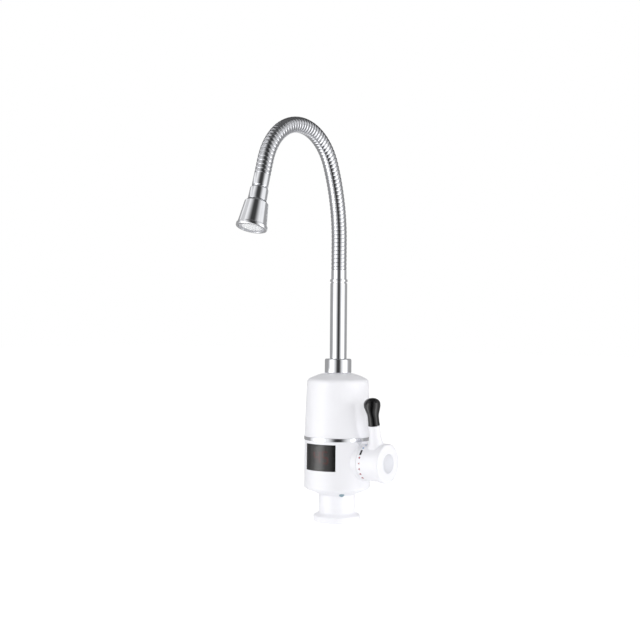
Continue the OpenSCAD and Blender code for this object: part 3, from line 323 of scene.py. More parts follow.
# moulded plastics: slow flow marks in the colour, a fine skin in the gloss and the relief
def moulded(name, dark, light, rough, ior, skin=1.4, depth=0.004):
    material, tree, shader, place = newMaterial(name)
    tint(tree, shader, grain(tree, place, spread["flowMarks"]), dark, light)
    vary(tree, shader, "Roughness", grain(tree, place, spread["mouldGloss"]), *rough)
    relief(tree, shader, grain(tree, place, skin, 3), depth)
    shader.inputs["IOR"].default_value = ior
    return material


# metals: hairlines or a fine ripple drawn along one direction
def worked(name, dark, light, rough, size, stretch, depth):
    material, tree, shader, place = newMaterial(name)
    lines = grain(tree, place, size, 4, stretch)
    tint(tree, shader, grain(tree, place, spread["tarnish"]), dark, light)
    vary(tree, shader, "Roughness", lines, *rough)
    relief(tree, shader, lines, depth)
    shader.inputs["Metallic"].default_value = 1.0
    return material


# pad-printed ink: a thin matt film, a little uneven where it covers less
def printed(name, dark, light):
    material, tree, shader, place = newMaterial(name)
    tint(tree, shader, grain(tree, place, spread["inkCover"]), dark, light)
    vary(tree, shader, "Roughness", grain(tree, place, spread["inkGloss"]), 0.42, 0.6)
    shader.inputs["IOR"].default_value = 1.5
    return material


# glossy ABS from a polished mould: cool white, soft reflections of what stands near
whiteAbs = moulded("glossy moulded ABS", "#EEEEF2", "#F1F1F5", (0.4, 0.43), 1.54)
# the plug over the screw: the same plastic in a satin finish, a little greyer as painted shade for the shading of
# the bowl in its face
plugAbsGreyedForShade = moulded("satin moulded ABS", "#D4D5DB", "#DADBE1", (0.36, 0.46), 1.54)
# chrome over polished brass: mirror bright, with the faint ripple of the buffing wheel
chromePlate = worked("chrome plating on polished brass", "#E9EAEE", "#F4F5F8", (0.035, 0.07), 3.0, (1, 1, 1), 0.002)
# stainless strip wound into a hose and polished over its ribs: greyer than the chrome, softer mirrors
hoseSteel = worked("polished stainless strip", "#C6C7CB", "#DCDDE1", (0.09, 0.17), 1.5, (1, 1, 1), 0.002)
# deep-drawn stainless sheet, brushed round its axis: hairlines that stretch the highlight
brushedSteel = worked("brushed stainless sheet", "#A9ABAE", "#C9CBCE", (0.24, 0.38), 0.5, (0.15, 0.15, 4), 0.003)
# brass bar turned on a lathe: warm, with fine tool rings
turnedBrass = worked("turned brass", "#B98F45", "#D9B46A", (0.2, 0.34), 0.4, (0.2, 0.2, 5), 0.004)
# the heater's steel sheath, oxidised a little by its heat: dull and brownish
sheathSteel = worked("oxidised heater sheath", "#7B746C", "#A39C93", (0.35, 0.55), 0.8, (1, 1, 1), 0.004)
# PBT from a spark-eroded mould: an even, dull black
blackPbt = moulded("spark-textured black PBT", "#141416", "#1D1D20", (0.5, 0.62), 1.55, 0.5, 0.02)
# phenolic grip: jet black and polished
blackPhenolic = moulded("polished black phenolic", "#050506", "#0B0B0D", (0.1, 0.17), 1.5, 2.2, 0.003)
# ABS from a lightly etched mould: a broad, weak highlight
greyAbs = moulded("satin grey ABS", "#B4B5BA", "#C2C3C8", (0.38, 0.5), 1.54)
# the pointer over the dial: nearly as pale as the casing, told from it by its edges
paleAbs = moulded("satin pale grey ABS", "#D2D3D7", "#DCDDE1", (0.38, 0.5), 1.54)
bluePp = moulded("blue polypropylene", "#7C96A0", "#8FA8B2", (0.25, 0.35), 1.49)  # waxy and a little milky
acetal = moulded("natural acetal", "#E2DFD6", "#ECE9E1", (0.3, 0.42), 1.48)  # warm white, slippery
ppsLid = moulded("glass-filled PPS", "#B9B2A2", "#C8C2B4", (0.45, 0.6), 1.6, 0.6, 0.02)  # dull, fine mottle
# the silicone is pale, and its colour is lifted further towards white as painted light, since the plate faces down
# into shade
siliconePlate = moulded("pale silicone", "#EDEEF0", "#F4F5F6", (0.4, 0.52), 1.41, 0.9, 0.006)  # soft white
pexLiner = moulded("milky PEX tube", "#D8D8D4", "#E4E4E0", (0.3, 0.4), 1.52)  # drawn smooth, satin
rubber = moulded("moulded EPDM rubber", "#121213", "#1C1C1D", (0.62, 0.78), 1.52, 0.7, 0.02)  # matt, dusty
alumina = moulded("lapped alumina", "#E9E5DA", "#F1EEE6", (0.2, 0.3), 1.76, 0.3, 0.002)  # ivory, even shine
relayBlue = moulded("blue relay case", "#1B4C92", "#245BA6", (0.3, 0.42), 1.55)  # glass-filled, soft shine
# pad-printed inks: flat, thin and a little faded
redInk = printed("red pad-printed ink", "#94464D", "#AC5C63")
blueInk = printed("blue pad-printed ink", "#7A9AC4", "#92AED2")
blackInk = printed("black pad-printed ink", "#141417", "#212125")


# glass-epoxy board: green mask over a weave of copper tracks
def makeBoard():
    material, tree, shader, place = newMaterial("green solder mask on glass epoxy")
    tracks = addNode(
        tree, "ShaderNodeTexBrick", {"offset": 0.37, "squash": 0.7},
        {
            "Vector": place, "Scale": 1.0, "Brick Width": 0.0075, "Row Height": 0.0028, "Mortar Size": 0.00045,
            "Color1": hexToLinear("#11552C"), "Color2": hexToLinear("#15602F"), "Mortar": hexToLinear("#2F8A4C"),
        },
    )
    tree.links.new(tracks.outputs["Color"], shader.inputs["Base Color"])
    vary(tree, shader, "Roughness", grain(tree, place, 3), 0.28, 0.4)
    relief(tree, shader, tracks.outputs["Fac"], 0.03)
    shader.inputs["IOR"].default_value = 1.55
    return material


# smoked polycarbonate: nearly black, the lit digits show through it faintly
def makeSmoked():
    material, tree, shader, place = newMaterial("smoked polycarbonate")
    tint(tree, shader, grain(tree, place, 18), "#2B2A29", "#363432")
    vary(tree, shader, "Roughness", grain(tree, place, 6), 0.07, 0.11)
    shader.inputs["IOR"].default_value = 1.585
    shader.inputs["Transmission Weight"].default_value = 0.85
    return material


# red segments, brighter in some places than in others
def makeLit():
    material, tree, shader, place = newMaterial("lit red segments")
    vary(tree, shader, "Emission Strength", grain(tree, place, 2.5), 2.8, 4.2)
    tint(tree, shader, grain(tree, place, 2), "#7A1210", "#9A1C16")
    shader.inputs["Emission Color"].default_value = hexToLinear("#FF4A2A")
    shader.inputs["Roughness"].default_value = 0.4
    return material


boardGreen = makeBoard()
smoked = makeSmoked()
litRed = makeLit()
print("stage: materials")

# carried-over solids: each keeps its shape and gets its real finish
finishes = {
    whiteAbs: ["base_lock_nut"],
    turnedBrass: ["valve_body", "cartridge_nut", "outlet_nipple", "spindle", "spout_tail"],
    brushedSteel: ["inlet_filter", "flow_spring", "tank", "lid_screws", "handle_screw", "aerator_screen"],
    sheathSteel: ["heating_element"],
    blackPbt: ["digit_frame", "microswitch", "flow_cover"],
    acetal: ["cartridge_body", "flow_plunger", "terminal_block", "glide_ring"],
    ppsLid: ["tank_lid", "thermal_cutout"],
    pexLiner: ["hose_liner"],
    rubber: ["foot_gasket", "inlet_washer", "seal_rings", "flow_diaphragm", "spout_orings", "head_oring"],
    alumina: ["fixed_disc", "moving_disc"],
    boardGreen: ["display_board", "control_board"],
    relayBlue: ["relay"],
    litRed: ["led_digits"],
    redInk: ["hot_marks"],
    blueInk: ["cold_marks"],
    blackInk: ["off_mark"],
}
for material, names in finishes.items():
    for name in names:
        nodes[name].data.materials.clear()
        nodes[name].data.materials.append(material)
print("stage: finishes on", sum(len(names) for names in finishes.values()), "carried-over solids")

# foot, with the gasket's groove under it and the seat of the inlet's rim inside
foot = {
    "radius": 25.0, "edge": 2.6, "flangeSide": 6.7, "flange": 8.0, "fillet": 22.6, "neckStart": 9.6, "neck": 19.35,
    "top": 29.0, "spigot": 16.5, "spigotTop": 38.9, "bore": 13.1, "grooveIn": 15.4, "grooveOut": 20.6,
    "grooveDepth": 1.8, "seat": 14.3, "seatLow": 8.9, "seatHigh": 13.1,
}


def makeFoot():
    f = Sizes(**foot)
    outline = [
        (f.bore, 0), (f.grooveIn, 0), (f.grooveIn, f.grooveDepth), (f.grooveOut, f.grooveDepth), (f.grooveOut, 0),
        (f.radius, 0, f.edge), (f.radius, f.flangeSide, 2.4), (f.fillet, f.flange, 1.2), (f.neck, f.neckStart, 3.0),
        (f.neck, f.top, 0.3), (f.spigot, f.top, 0), (f.spigot, f.spigotTop), (f.bore, f.spigotTop),
        (f.bore, f.seatHigh, 0), (f.seat, f.seatHigh, 0), (f.seat, f.seatLow, 0), (f.bore, f.seatLow, 0),
    ]
    return turned("footFlange", outline, sides=160)


addPiece(makeFoot(), whiteAbs, "tap_body", "white_abs", "foot")

# brass inlet with its real G1/2 thread: 14 threads an inch, 0.58 mm deep each side
inlet = {
    "outer": 13.0, "thread": 9.3155, "pitch": 1.814, "depth": 1.162, "length": 12.0, "mouth": 10.5, "washer": 10.6,
    "washerEnd": 14.2, "bore": 6.0, "boreEnd": 18.2, "socket": 7.7, "end": 24.2, "rim": 14.2, "rimLow": 9.0,
    "rimHigh": 13.0, "rimSlope": 0.4, "sides": 96, "steps": 84, "fadeSteps": 6, "flank": 1.3, "crest": 0.15,
}


def makeInlet():
    i = Sizes(**inlet)
    bm = bmesh.new()
    outline = [
        (i.washer, i.length), (i.washer, i.washerEnd), (i.bore, i.washerEnd), (i.bore, i.boreEnd),
        (i.socket, i.boreEnd), (i.socket, i.end), (i.outer, i.end), (i.outer, i.rimHigh),
        (i.rim, i.rimHigh - i.rimSlope), (i.rim, i.rimLow + i.rimSlope), (i.outer, i.rimLow), (i.outer, 0.0),
        (i.mouth, 0.0),
    ]
    rings = []
    for k in range(i.steps + 1):
        height = i.length * k / i.steps
        # the thread dies away at both ends
        fade = min(1.0, k / i.fadeSteps, (i.steps - k) / i.fadeSteps)
        ring = []
        for s in range(i.sides):
            turn = s / i.sides
            wave = abs(((height / i.pitch - turn) % 1.0) * 2 - 1)
            cut = min(1.0, max(0.0, wave * i.flank - i.crest))
            radius = i.thread + i.depth * (fade * cut + (1 - fade))
            ring.append(bm.verts.new(tapAxis @ Vector((
                radius * math.cos(2 * math.pi * turn), radius * math.sin(2 * math.pi * turn), height,
            ))))
        rings.append(ring)
    rings += [ringAt(bm, tapAxis, radius, height, i.sides) for radius, height in outline]
    joinRings(bm, rings, True)
    return finishMesh("inletThread", bm, 40)


addPiece(makeInlet(), turnedBrass, "tap_body", "brass", "inlet_insert")

# casing: a lower and an upper shell that lap behind the belt; "roof" is the inside of the upper one's top
casing = {
    "radius": 35.0, "inner": 32.6, "lap": 33.75, "lapGap": 0.1, "lapTop": 93.2, "upperLow": 93.4, "hole": 16.6,
    "neck": 19.35, "bottom": 29.0, "floor": 31.8, "floorEdge": 21.4, "wallLow": 37.2, "cone": 33.0, "coneTop": 34.6,
    "wallStart": 36.6, "coneRound": 1.6, "belt": 86.7, "beltTop": 90.4, "shoulder": 32.9, "shoulderZ": 152.2,
    "round": 5.2, "roundEnd": 62, "roundSteps": 8, "domeTop": 157.4, "domeRim": 14.3, "domeSteps": 12, "crown": 0.6,
    "roof": [(10.5, 154.9), (15.0, 154.9), (29.1, 148.4), (30.5, 147.0)],
}
valveBarrel = {
    "radius": 19.2, "start": 27.0, "end": 36.2, "edge": 0.35, "sides": 160, "bore": 16.4, "boreStart": 10.0,
    "boreEnd": 40.0, "boreSides": 160,
}
glandPad = {
    "radius": 10.5, "start": 32.0, "end": 35.6, "edge": 0.5, "sides": 96, "bore": 6.1, "boreStart": 26.0,
    "boreEnd": 40.0, "boreSides": 64,
}
# the window's pane, its lip behind the wall, and the rebate in the wall that takes the lip
window = {
    "half": 32.0, "low": 56.0, "high": 83.7, "inner": 31.6, "face": 35.12, "gap": 0.1, "gapAngle": 0.2,
    "lipAngle": 2.2, "lip": 1.5, "lipFace": 32.5, "rebateAngle": 2.6, "rebate": 1.6, "rebateInner": 30.5,
    "cutInner": 30.6, "cutOuter": 36.0,
}


def makeLowerCasing():
    c, w = Sizes(**casing), Sizes(**window)
    outline = [
        (c.hole, c.bottom), (c.neck, c.bottom, 0.2), (c.cone, c.coneTop, c.coneRound),
        (c.radius, c.wallStart, c.coneRound), (c.radius, c.belt, 0.25), (c.lap, c.belt, 0), (c.lap, c.lapTop, 0),
        (c.inner, c.lapTop, 0), (c.inner, c.wallLow), (c.floorEdge, c.floor), (c.hole, c.floor, 0),
    ]
    piece = asObject(turned("lowerCasing", outline, sides=192))
    tubes = [(Sizes(**valveBarrel), valveAxis), (Sizes(**glandPad), glandAxis)]
    for t, axis in tubes:
        barrel = discOutline(t.radius, t.start, t.end, t.edge)
        combine(piece, turned("barrel", barrel, axis, sides=t.sides), "UNION")
    for t, axis in tubes:
        bore = discOutline(t.bore, t.boreStart, t.boreEnd)
        combine(piece, turned("bore", bore, axis, sides=t.boreSides), "DIFFERENCE")
    opening = wallSector("opening", w.half, w.cutInner, w.cutOuter, w.low, w.high)
    combine(piece, opening, "DIFFERENCE")
    low, high = w.low - w.rebate, w.high + w.rebate
    rebate = wallSector("rebate", w.half + w.rebateAngle, w.rebateInner, c.inner - 0.001, low, high)
    combine(piece, rebate, "DIFFERENCE")
    smoothAgain(piece)
    return piece


def makeUpperCasing():
    c = Sizes(**casing)
    outline = [(c.lap + c.lapGap, c.beltTop, 0), (c.radius, c.beltTop, 0.25)]
    for k in range(c.roundSteps + 1):
        a = math.radians(c.roundEnd * k / c.roundSteps)
        outline.append((
            c.shoulder - c.round * (1 - math.cos(a)), c.shoulderZ - c.round * (1 - math.sin(a)), 0,
        ))
    lastR, lastZ = outline[-1][:2]
    for k in range(1, c.domeSteps + 1):
        t = k / c.domeSteps
        outline.append((
            lastR + (c.domeRim - lastR) * t,
            lastZ + (c.domeTop - lastZ) * t + c.crown * math.sin(math.pi * t), 0,
        ))
    outline.append((c.roof[0][0], c.domeTop, 0))
    outline += [(radius, height, 0) for radius, height in c.roof]
    outline += [(c.inner, c.upperLow, 0), (c.lap + c.lapGap, c.upperLow, 0)]
    return turned("upperCasing", outline, sides=192)


def makeWindow():
    w = Sizes(**window)
    pane = asObject(wallSector(
        "displayWindow", w.half - w.gapAngle, w.inner, w.face, w.low + w.gap, w.high - w.gap,
    ))
    roundEdges(pane, 0.3)
    lip = wallSector("lip", w.half + w.lipAngle, w.inner + 0.01, w.lipFace, w.low - w.lip, w.high + w.lip)
    combine(pane, lip, "UNION")
    smoothAgain(pane)
    return pane


# chrome belt over the lap of the two shells
belt = {"inner": 33.85, "outer": 35.5, "low": 86.73, "high": 90.37, "edge": 0.3}


def makeBelt():
    b = Sizes(**belt)
    outline = [(b.inner, b.low, 0), (b.outer, b.low, b.edge), (b.outer, b.high, b.edge), (b.inner, b.high, 0)]
    return turned("trimBelt", outline, sides=192)


addPiece(makeLowerCasing(), whiteAbs, "tap_body", "white_abs", "lower_shell")
addPiece(makeUpperCasing(), whiteAbs, "tap_body", "white_abs", "upper_shell")
addPiece(makeBelt(), chromePlate, "tap_body", "chrome_plate", "trim_belt")
addPiece(makeWindow(), smoked, "tap_body", "smoked_window", "display_window")

# blue stud of the cold inlet, let into the casing's cone
stud = {"angle": -43.0, "tilt": 55.0, "reach": 24.0, "height": 30.2, "radius": 2.7, "depth": 1.6, "crown": 1.4}


def makeStud():
    s = Sizes(**stud)
    outline = [(0, -s.depth), (s.radius, -s.depth, 0)] + domeOutline(s.radius, s.crown, 0, 10)
    return turned("blueMarker", outline, placeAt(s.reach, s.height, 90 + s.tilt, "Y", s.angle), sides=64)


addPiece(makeStud(), bluePp, "tap_body", "marker_blue", "blue_marker")

# pale pointer over the dial
pointer = {"angle": -14.0, "halfWidth": 3.6, "drop": 3.5, "top": 86.3, "sunk": 0.6, "proud": 0.25, "edge": 0.15}


def makePointer():
    p = Sizes(**pointer)
    outline = [(0, -p.halfWidth), (p.drop, 0), (0, p.halfWidth)]
    axis = placeAt(casing["radius"], p.top, 90, "Y", p.angle)
    return roundEdges(asObject(prism("dialPointer", outline, -p.sunk, p.proud, axis)), p.edge, 2)


addPiece(makePointer(), paleAbs, "tap_body", "pale_grey", "dial_pointer")

gland = {"bore": 3.6, "start": 28.6, "body": 6.0, "flange": 8.5, "flangeStart": 35.65, "end": 38.3}


def makeGland():
    g = Sizes(**gland)
    return turned("cableGland", [
        (g.bore, g.start), (g.body, g.start), (g.body, g.flangeStart, 0), (g.flange, g.flangeStart),
        (g.flange, g.end, 0.9), (g.bore, g.end, 0.7),
    ], glandAxis, sides=96)


addPiece(makeGland(), greyAbs, "tap_body", "pale_grey", "cable_gland")
print("stage: casing")

# handle: the dial's skirt, its cap and the lever's stem are one moulding
handle = {
    "skirt": 19.2, "skirtStart": 36.6, "inner": 16.6, "hub": 8.0, "hubStart": 43.0, "hubEnd": 57.9, "spindle": 4.1,
    "spindleEnd": 54.6, "capStart": 58.0, "cap": 20.6, "capEnd": 64.6, "screw": 1.6, "head": 3.2, "headStart": 58.2,
}
lever = {
    "stem": 6.1, "flare": 38.0, "flareTop": 33.0, "flareAngle": 26.0, "flareSteps": 10, "end": 40.3, "pin": 3.0,
    "pinEnd": 63.3,
}
plug = {"hole": 10.2, "floor": 60.5, "radius": 10.1, "start": 60.6, "bowl": 9.6, "depth": 3.2}


def makeHandle():
    h, v, p = Sizes(**handle), Sizes(**lever), Sizes(**plug)
    outline = [
        (h.screw, h.spindleEnd), (h.spindle, h.spindleEnd, 0), (h.spindle, h.hubStart, 0), (h.hub, h.hubStart),
        (h.hub, h.hubEnd, 0), (h.inner, h.hubEnd, 0), (h.inner, h.skirtStart), (h.skirt, h.skirtStart, 0.3),
        (h.skirt, h.capStart, 0.3), (h.cap, h.capStart, 0.8), (h.cap, h.capEnd, 1.9), (p.hole, h.capEnd, 0.2),
        (p.hole, p.floor, 0), (h.head, p.floor, 0), (h.head, h.headStart, 0), (h.screw, h.headStart, 0),
    ]
    piece = asObject(turned("dialHandle", outline, valveAxis, sides=192))
    # the stem widens downwards in one slow curve
    flare = [
        (v.stem + v.flare * (1 - math.cos(a)), v.flareTop - v.flare * math.sin(a), 0)
        for a in (math.radians(v.flareAngle * (1 - k / v.flareSteps)) for k in range(v.flareSteps + 1))
    ]
    outline = [(0, flare[0][1]), *flare]
    outline += [(v.stem, v.end, 0.3), (v.pin, v.end, 0), (v.pin, v.pinEnd, 0.4), (0, v.pinEnd)]
    combine(piece, turned("lever", outline, leverAxis, sides=96), "UNION")
    smoothAgain(piece)
    return piece


# the screw's cover, with a bowl in its face
def makePlug():
    p = Sizes(**plug)
    face = handle["capEnd"]
    outline = [(0, p.start), (p.radius, p.start, 0.2), (p.radius, face, 0.2)]
    outline += [(r, 2 * face - height, 0) for r, height, _ in domeOutline(p.bowl, p.depth, face, 14)]
    return turned("handlePlug", outline, valveAxis, sides=144)


addPiece(makeHandle(), whiteAbs, "handle", "white_abs", "handle")
addPiece(makePlug(), plugAbsGreyedForShade, "handle", "white_abs", "handle_plug")

# grip: a slim waist that swells into a round head; the shares are of its length
grip = {
    "start": 40.4, "length": 29.0, "head": 8.7, "waist": 5.9, "flare": 0.4, "flareShare": 0.16, "waistShare": 0.3,
    "swellShare": 0.45, "topShare": 0.78, "hole": 3.1, "holeEnd": 63.4, "steps": 30, "domeSteps": 16,
}


def gripRadius(t):
    g = Sizes(**grip)
    rise = min(1.0, max(0.0, (t - g.waistShare) / g.swellShare))
    swell = (g.head - g.waist) * (rise * rise * (3 - 2 * rise))
    return g.waist + swell + g.flare * max(0, 1 - t / g.flareShare) ** 2


def makeGrip():
    g = Sizes(**grip)
    outline = [(0, g.holeEnd), (g.hole, g.holeEnd, 0), (g.hole, g.start, 0.2)]
    for k in range(g.steps + 1):
        t = g.topShare * k / g.steps
        outline.append((gripRadius(t), g.start + t * g.length, 0.4))
    domeStart, domeLen = g.start + g.topShare * g.length, (1 - g.topShare) * g.length
    for k in range(1, g.domeSteps + 1):
        a = math.radians(90 * k / g.domeSteps)
        radius = 0 if k == g.domeSteps else gripRadius(g.topShare) * math.cos(a)
        outline.append((radius, domeStart + domeLen * math.sin(a)))
    return turned("blackGrip", outline, leverAxis, sides=112, sharpAngle=50)


addPiece(makeGrip(), blackPhenolic, "handle", "grip_black", "grip")
print("stage: handle")

# spout: union nut, tube and the hose's end fittings
nut = {
    "thread": 10.5, "threadTop": 167.1, "low": 157.42, "foot": 13.75, "footTop": 158.0, "outer": 14.25, "top": 172.9,
    "topRound": 2.4, "neck": 9.06, "roof": 170.9, "room": 11.9, "roomLow": 167.5,
}
tube = {"inner": 7.6, "outer": 9.0, "low": 169.7, "top": 252.9, "topRound": 1.0}
ferrule = {
    "bore": 5.5, "plug": 7.5, "plugLow": 242.9, "seat": 252.9, "groove": 8.2, "grooveTop": 253.9, "ring": 9.3,
    "ringLow": 254.2, "ringTop": 256.9, "sleeve": 8.15, "sleeveLow": 257.0, "sleeveTop": 266.9, "upperLength": 12.0,
}


def makeNut():
    n = Sizes(**nut)
    return turned("spoutNut", [
        (n.thread, n.low), (n.foot, n.low), (n.outer, n.footTop, 0.2), (n.outer, n.top, n.topRound),
        (n.neck, n.top, 0.2), (n.neck, n.roof, 0), (n.room, n.roof, 0), (n.room, n.roomLow, 0),
        (n.thread, n.threadTop, 0),
    ])


def makeTube():
    t = Sizes(**tube)
    outline = [(t.inner, t.low, 0), (t.outer, t.low, 0.2), (t.outer, t.top, t.topRound), (t.inner, t.top, 0)]
    return turned("spoutTube", outline)


def makeLowerFerrule():
    f = Sizes(**ferrule)
    return turned("lowerFerrule", [
        (f.bore, f.plugLow, 0), (f.plug, f.plugLow, 0), (f.plug, f.seat, 0), (f.groove, f.seat, 0),
        (f.groove, f.grooveTop, 0), (f.ring, f.ringLow, 0.3), (f.ring, f.ringTop, 0.8),
        (f.sleeve, f.sleeveLow, 0.3), (f.sleeve, f.sleeveTop, 0.2), (f.bore, f.sleeveTop, 0),
    ])


def makeUpperFerrule():
    f = Sizes(**ferrule)
    return turned("upperFerrule", [
        (f.bore, -f.upperLength, 0), (f.sleeve, -f.upperLength, 0.2), (f.sleeve, 0.0, 0.3), (f.bore, 0.0, 0),
    ], headAxis)


# the head's collar and the stem that the bell slides on, with the seal's groove
collar = {
    "bore": 5.5, "boreEnd": 8.2, "stemBore": 5.0, "socket": 6.85, "socketEnd": 1.8, "shoulder": 8.4, "top": 9.1,
    "topEnd": 2.8, "rim": 9.4, "rimEnd": 14.5, "stem": 7.0, "stemEnd": 34.5, "groove": 6.0, "grooveStart": 21.0,
    "grooveEnd": 22.8,
}


def makeCollar():
    c = Sizes(**collar)
    return turned("headCollar", [
        (c.bore, 0, 0), (c.socket, 0, 0), (c.socket, c.socketEnd, 0), (c.shoulder, c.socketEnd, 0.3),
        (c.top, c.topEnd, 0.8), (c.rim, c.rimEnd, 0.3), (c.stem, c.rimEnd, 0), (c.stem, c.grooveStart, 0),
        (c.groove, c.grooveStart, 0), (c.groove, c.grooveEnd, 0), (c.stem, c.grooveEnd, 0), (c.stem, c.stemEnd),
        (c.stemBore, c.stemEnd), (c.stemBore, c.boreEnd, 0), (c.bore, c.boreEnd, 0),
    ], headAxis)


addPiece(makeNut(), chromePlate, "tap_body", "chrome_plate", "spout_nut")
for make, node in (
    (makeTube, "spout_tube"), (makeLowerFerrule, "lower_ferrule"), (makeUpperFerrule, "upper_ferrule"),
    (makeCollar, "head_collar"),
):
    addPiece(make(), chromePlate, "spout", "chrome_plate", node)

# ribbed hose: one wall swept along the route, its radius rising and falling once for each rib
hose = {
    "start": 14.0, "endShort": 12.0, "radius": 8.15, "depth": 0.42, "narrowness": 3.0, "bore": 6.2, "ribs": 64,
    "stepsPerRib": 14, "sides": 60, "pointStep": 0.8, "weld": 0.01,
}


# a tree with named inputs, and the sockets that give them
def newTree(name, inputs):
    tree = bpy.data.node_groups.new(name, "GeometryNodeTree")
    tree.interface.new_socket("Geometry", in_out="OUTPUT", socket_type="NodeSocketGeometry")
    for label, kind in inputs:
        tree.interface.new_socket(label, in_out="INPUT", socket_type="NodeSocket" + kind)
    return tree, addNode(tree, "NodeGroupInput").outputs


def endTree(tree, geometry, finish):
    real = addNode(tree, "GeometryNodeRealizeInstances", {}, {"Geometry": geometry})
    dressed = addNode(tree, "GeometryNodeSetMaterial", {}, {"Geometry": real, "Material": finish})
    addNode(tree, "NodeGroupOutput", {}, {0: dressed})
    return tree


def makeHoseTree():
    tree, given = newTree("ribbedHose", (
        ("Route", "Geometry"), ("Ribs", "Int"), ("Steps per rib", "Int"), ("Sides", "Int"), ("Radius", "Float"),
        ("Rib depth", "Float"), ("Groove narrowness", "Float"), ("Bore radius", "Float"), ("Finish", "Material"),
    ))
    steps = given["Steps per rib"]
    count = addNode(tree, "ShaderNodeMath", {"operation": "MULTIPLY_ADD"}, {0: given["Ribs"], 1: steps, 2: 1.0})
    fine = addNode(tree, "GeometryNodeResampleCurve", {"mode": "COUNT"}, {"Curve": given["Route"], "Count": count})
    # how far along its rib a point is: 0 and 1 in the grooves, 0.5 on the crest
    index = addNode(tree, "GeometryNodeInputIndex")
    step = addNode(tree, "ShaderNodeMath", {"operation": "MODULO"}, {0: index, 1: steps})
    share = addNode(tree, "ShaderNodeMath", {"operation": "DIVIDE"}, {0: step, 1: steps})
    # a broad crest with a narrow groove beside it
    side = addNode(tree, "ShaderNodeMath", {"operation": "MULTIPLY_ADD"}, {0: share, 1: 2.0, 2: -1.0})
    side = addNode(tree, "ShaderNodeMath", {"operation": "ABSOLUTE"}, {0: side})
    dip = addNode(tree, "ShaderNodeMath", {"operation": "POWER"}, {0: side, 1: given["Groove narrowness"]})
    dip = addNode(tree, "ShaderNodeMath", {"operation": "MULTIPLY"}, {0: dip, 1: given["Rib depth"]})
    ribbed = addNode(tree, "ShaderNodeMath", {"operation": "SUBTRACT"}, {0: given["Radius"], 1: dip})
    # both ends close down onto the bore, where the inner wall meets them
    ends = addNode(tree, "GeometryNodeCurveEndpointSelection", {}, {"Start Size": 1, "End Size": 1})
    radius = addNode(
        tree, "GeometryNodeSwitch", {"input_type": "FLOAT"},
        {"Switch": ends, "False": ribbed, "True": given["Bore radius"]},
    )
    ring = addNode(tree, "GeometryNodeCurvePrimitiveCircle", {}, {"Resolution": given["Sides"], "Radius": 1.0})
    outer = addNode(tree, "GeometryNodeCurveToMesh", {}, {"Curve": fine, "Profile Curve": ring, "Scale": radius})
    coarse = addNode(
        tree, "GeometryNodeResampleCurve", {"mode": "COUNT"}, {"Curve": given["Route"], "Count": given["Ribs"]}
    )
    inner = addNode(
        tree, "GeometryNodeCurveToMesh", {},
        {"Curve": coarse, "Profile Curve": ring, "Scale": given["Bore radius"]},
    )
    flipped = addNode(tree, "GeometryNodeFlipFaces", {}, {"Mesh": inner})
    both = addNode(tree, "GeometryNodeJoinGeometry")
    tree.links.new(outer.outputs[0], both.inputs[0])
    tree.links.new(flipped.outputs[0], both.inputs[0])
    welded = addNode(tree, "GeometryNodeMergeByDistance", {}, {"Geometry": both, "Distance": hose["weld"] * mm})
    smooth = addNode(tree, "GeometryNodeSetShadeSmooth", {}, {"Geometry": welded, "Shade Smooth": True})
    return endTree(tree, smooth, given["Finish"])


# runs a tree on an object with values by input name, and returns the plain mesh
def runTree(source, tree, values):
    modifier = source.modifiers.new("tree", "NODES")
    modifier.node_group = tree
    for item in tree.interface.items_tree:
        if item.in_out == "INPUT" and item.name in values:
            modifier[item.identifier] = values[item.name]
    return evaluatedMesh(source)


def routeCurve(first, last, step):
    count = math.ceil((last - first) / step)
    data = bpy.data.curves.new("route", "CURVE")
    data.dimensions = "3D"
    spline = data.splines.new("POLY")
    spline.points.add(count)
    for k in range(count + 1):
        spline.points[k].co = (*(hosePoint(first + (last - first) * k / count) * mm), 1.0)
    return asObject(data)


def makeHose():
    h = Sizes(**hose)
    source = routeCurve(h.start, hoseLength - h.endShort, h.pointStep)
    mesh = runTree(source, makeHoseTree(), {
        "Ribs": h.ribs, "Steps per rib": h.stepsPerRib, "Sides": h.sides, "Radius": h.radius * mm,
        "Rib depth": h.depth * mm, "Groove narrowness": h.narrowness, "Bore radius": h.bore * mm,
        "Finish": hoseSteel,
    })
    bpy.data.objects.remove(source)
    mesh.name = "ribbedHose"
    return mesh


addPiece(makeHose(), hoseSteel, "spout", "hose_steel", "hose")
print("stage: hose")

# spray head: the bell, the ring that holds the nozzle plate, and the plate
bell = {
    "bore": 7.06, "start": 14.8, "neck": 9.6, "shoulder": 11.8, "shoulderEnd": 17.2, "skirt": 14.5, "skirtEnd": 39.5,
    "rim": 15.5, "rimStart": 40.2, "end": 43.3, "mouth": 12.6, "mouthStart": 32.3, "funnel": 9.0,
    "funnelStart": 29.8, "guideEnd": 27.8,
}
outletRing = {"bore": 8.6, "start": 32.8, "outer": 12.5, "end": 42.6, "mouth": 10.3, "ledge": 40.9}
nozzles = {"rings": 3, "perRing": 6, "step": 2.667, "plate": 10.2, "plateLow": 40.95, "plateHigh": 42.15}
nozzle = {
    "root": 0.95, "tip": 0.8, "low": -0.3, "high": 0.45, "holeLow": 0.3, "holeWaist": 0.28, "waistHeight": 0.1,
    "holeHigh": 0.32,
}


def makeBell():
    b = Sizes(**bell)
    return turned("sprayBell", [
        (b.bore, b.start), (b.neck, b.start, 0.2), (b.shoulder, b.shoulderEnd, 0.5), (b.skirt, b.skirtEnd, 0.3),
        (b.rim, b.rimStart, 0.5), (b.rim, b.end, 0.9), (b.mouth, b.end, 0.3), (b.mouth, b.mouthStart),
        (b.funnel, b.funnelStart), (b.funnel, b.guideEnd), (b.bore, b.guideEnd),
    ], headAxis)


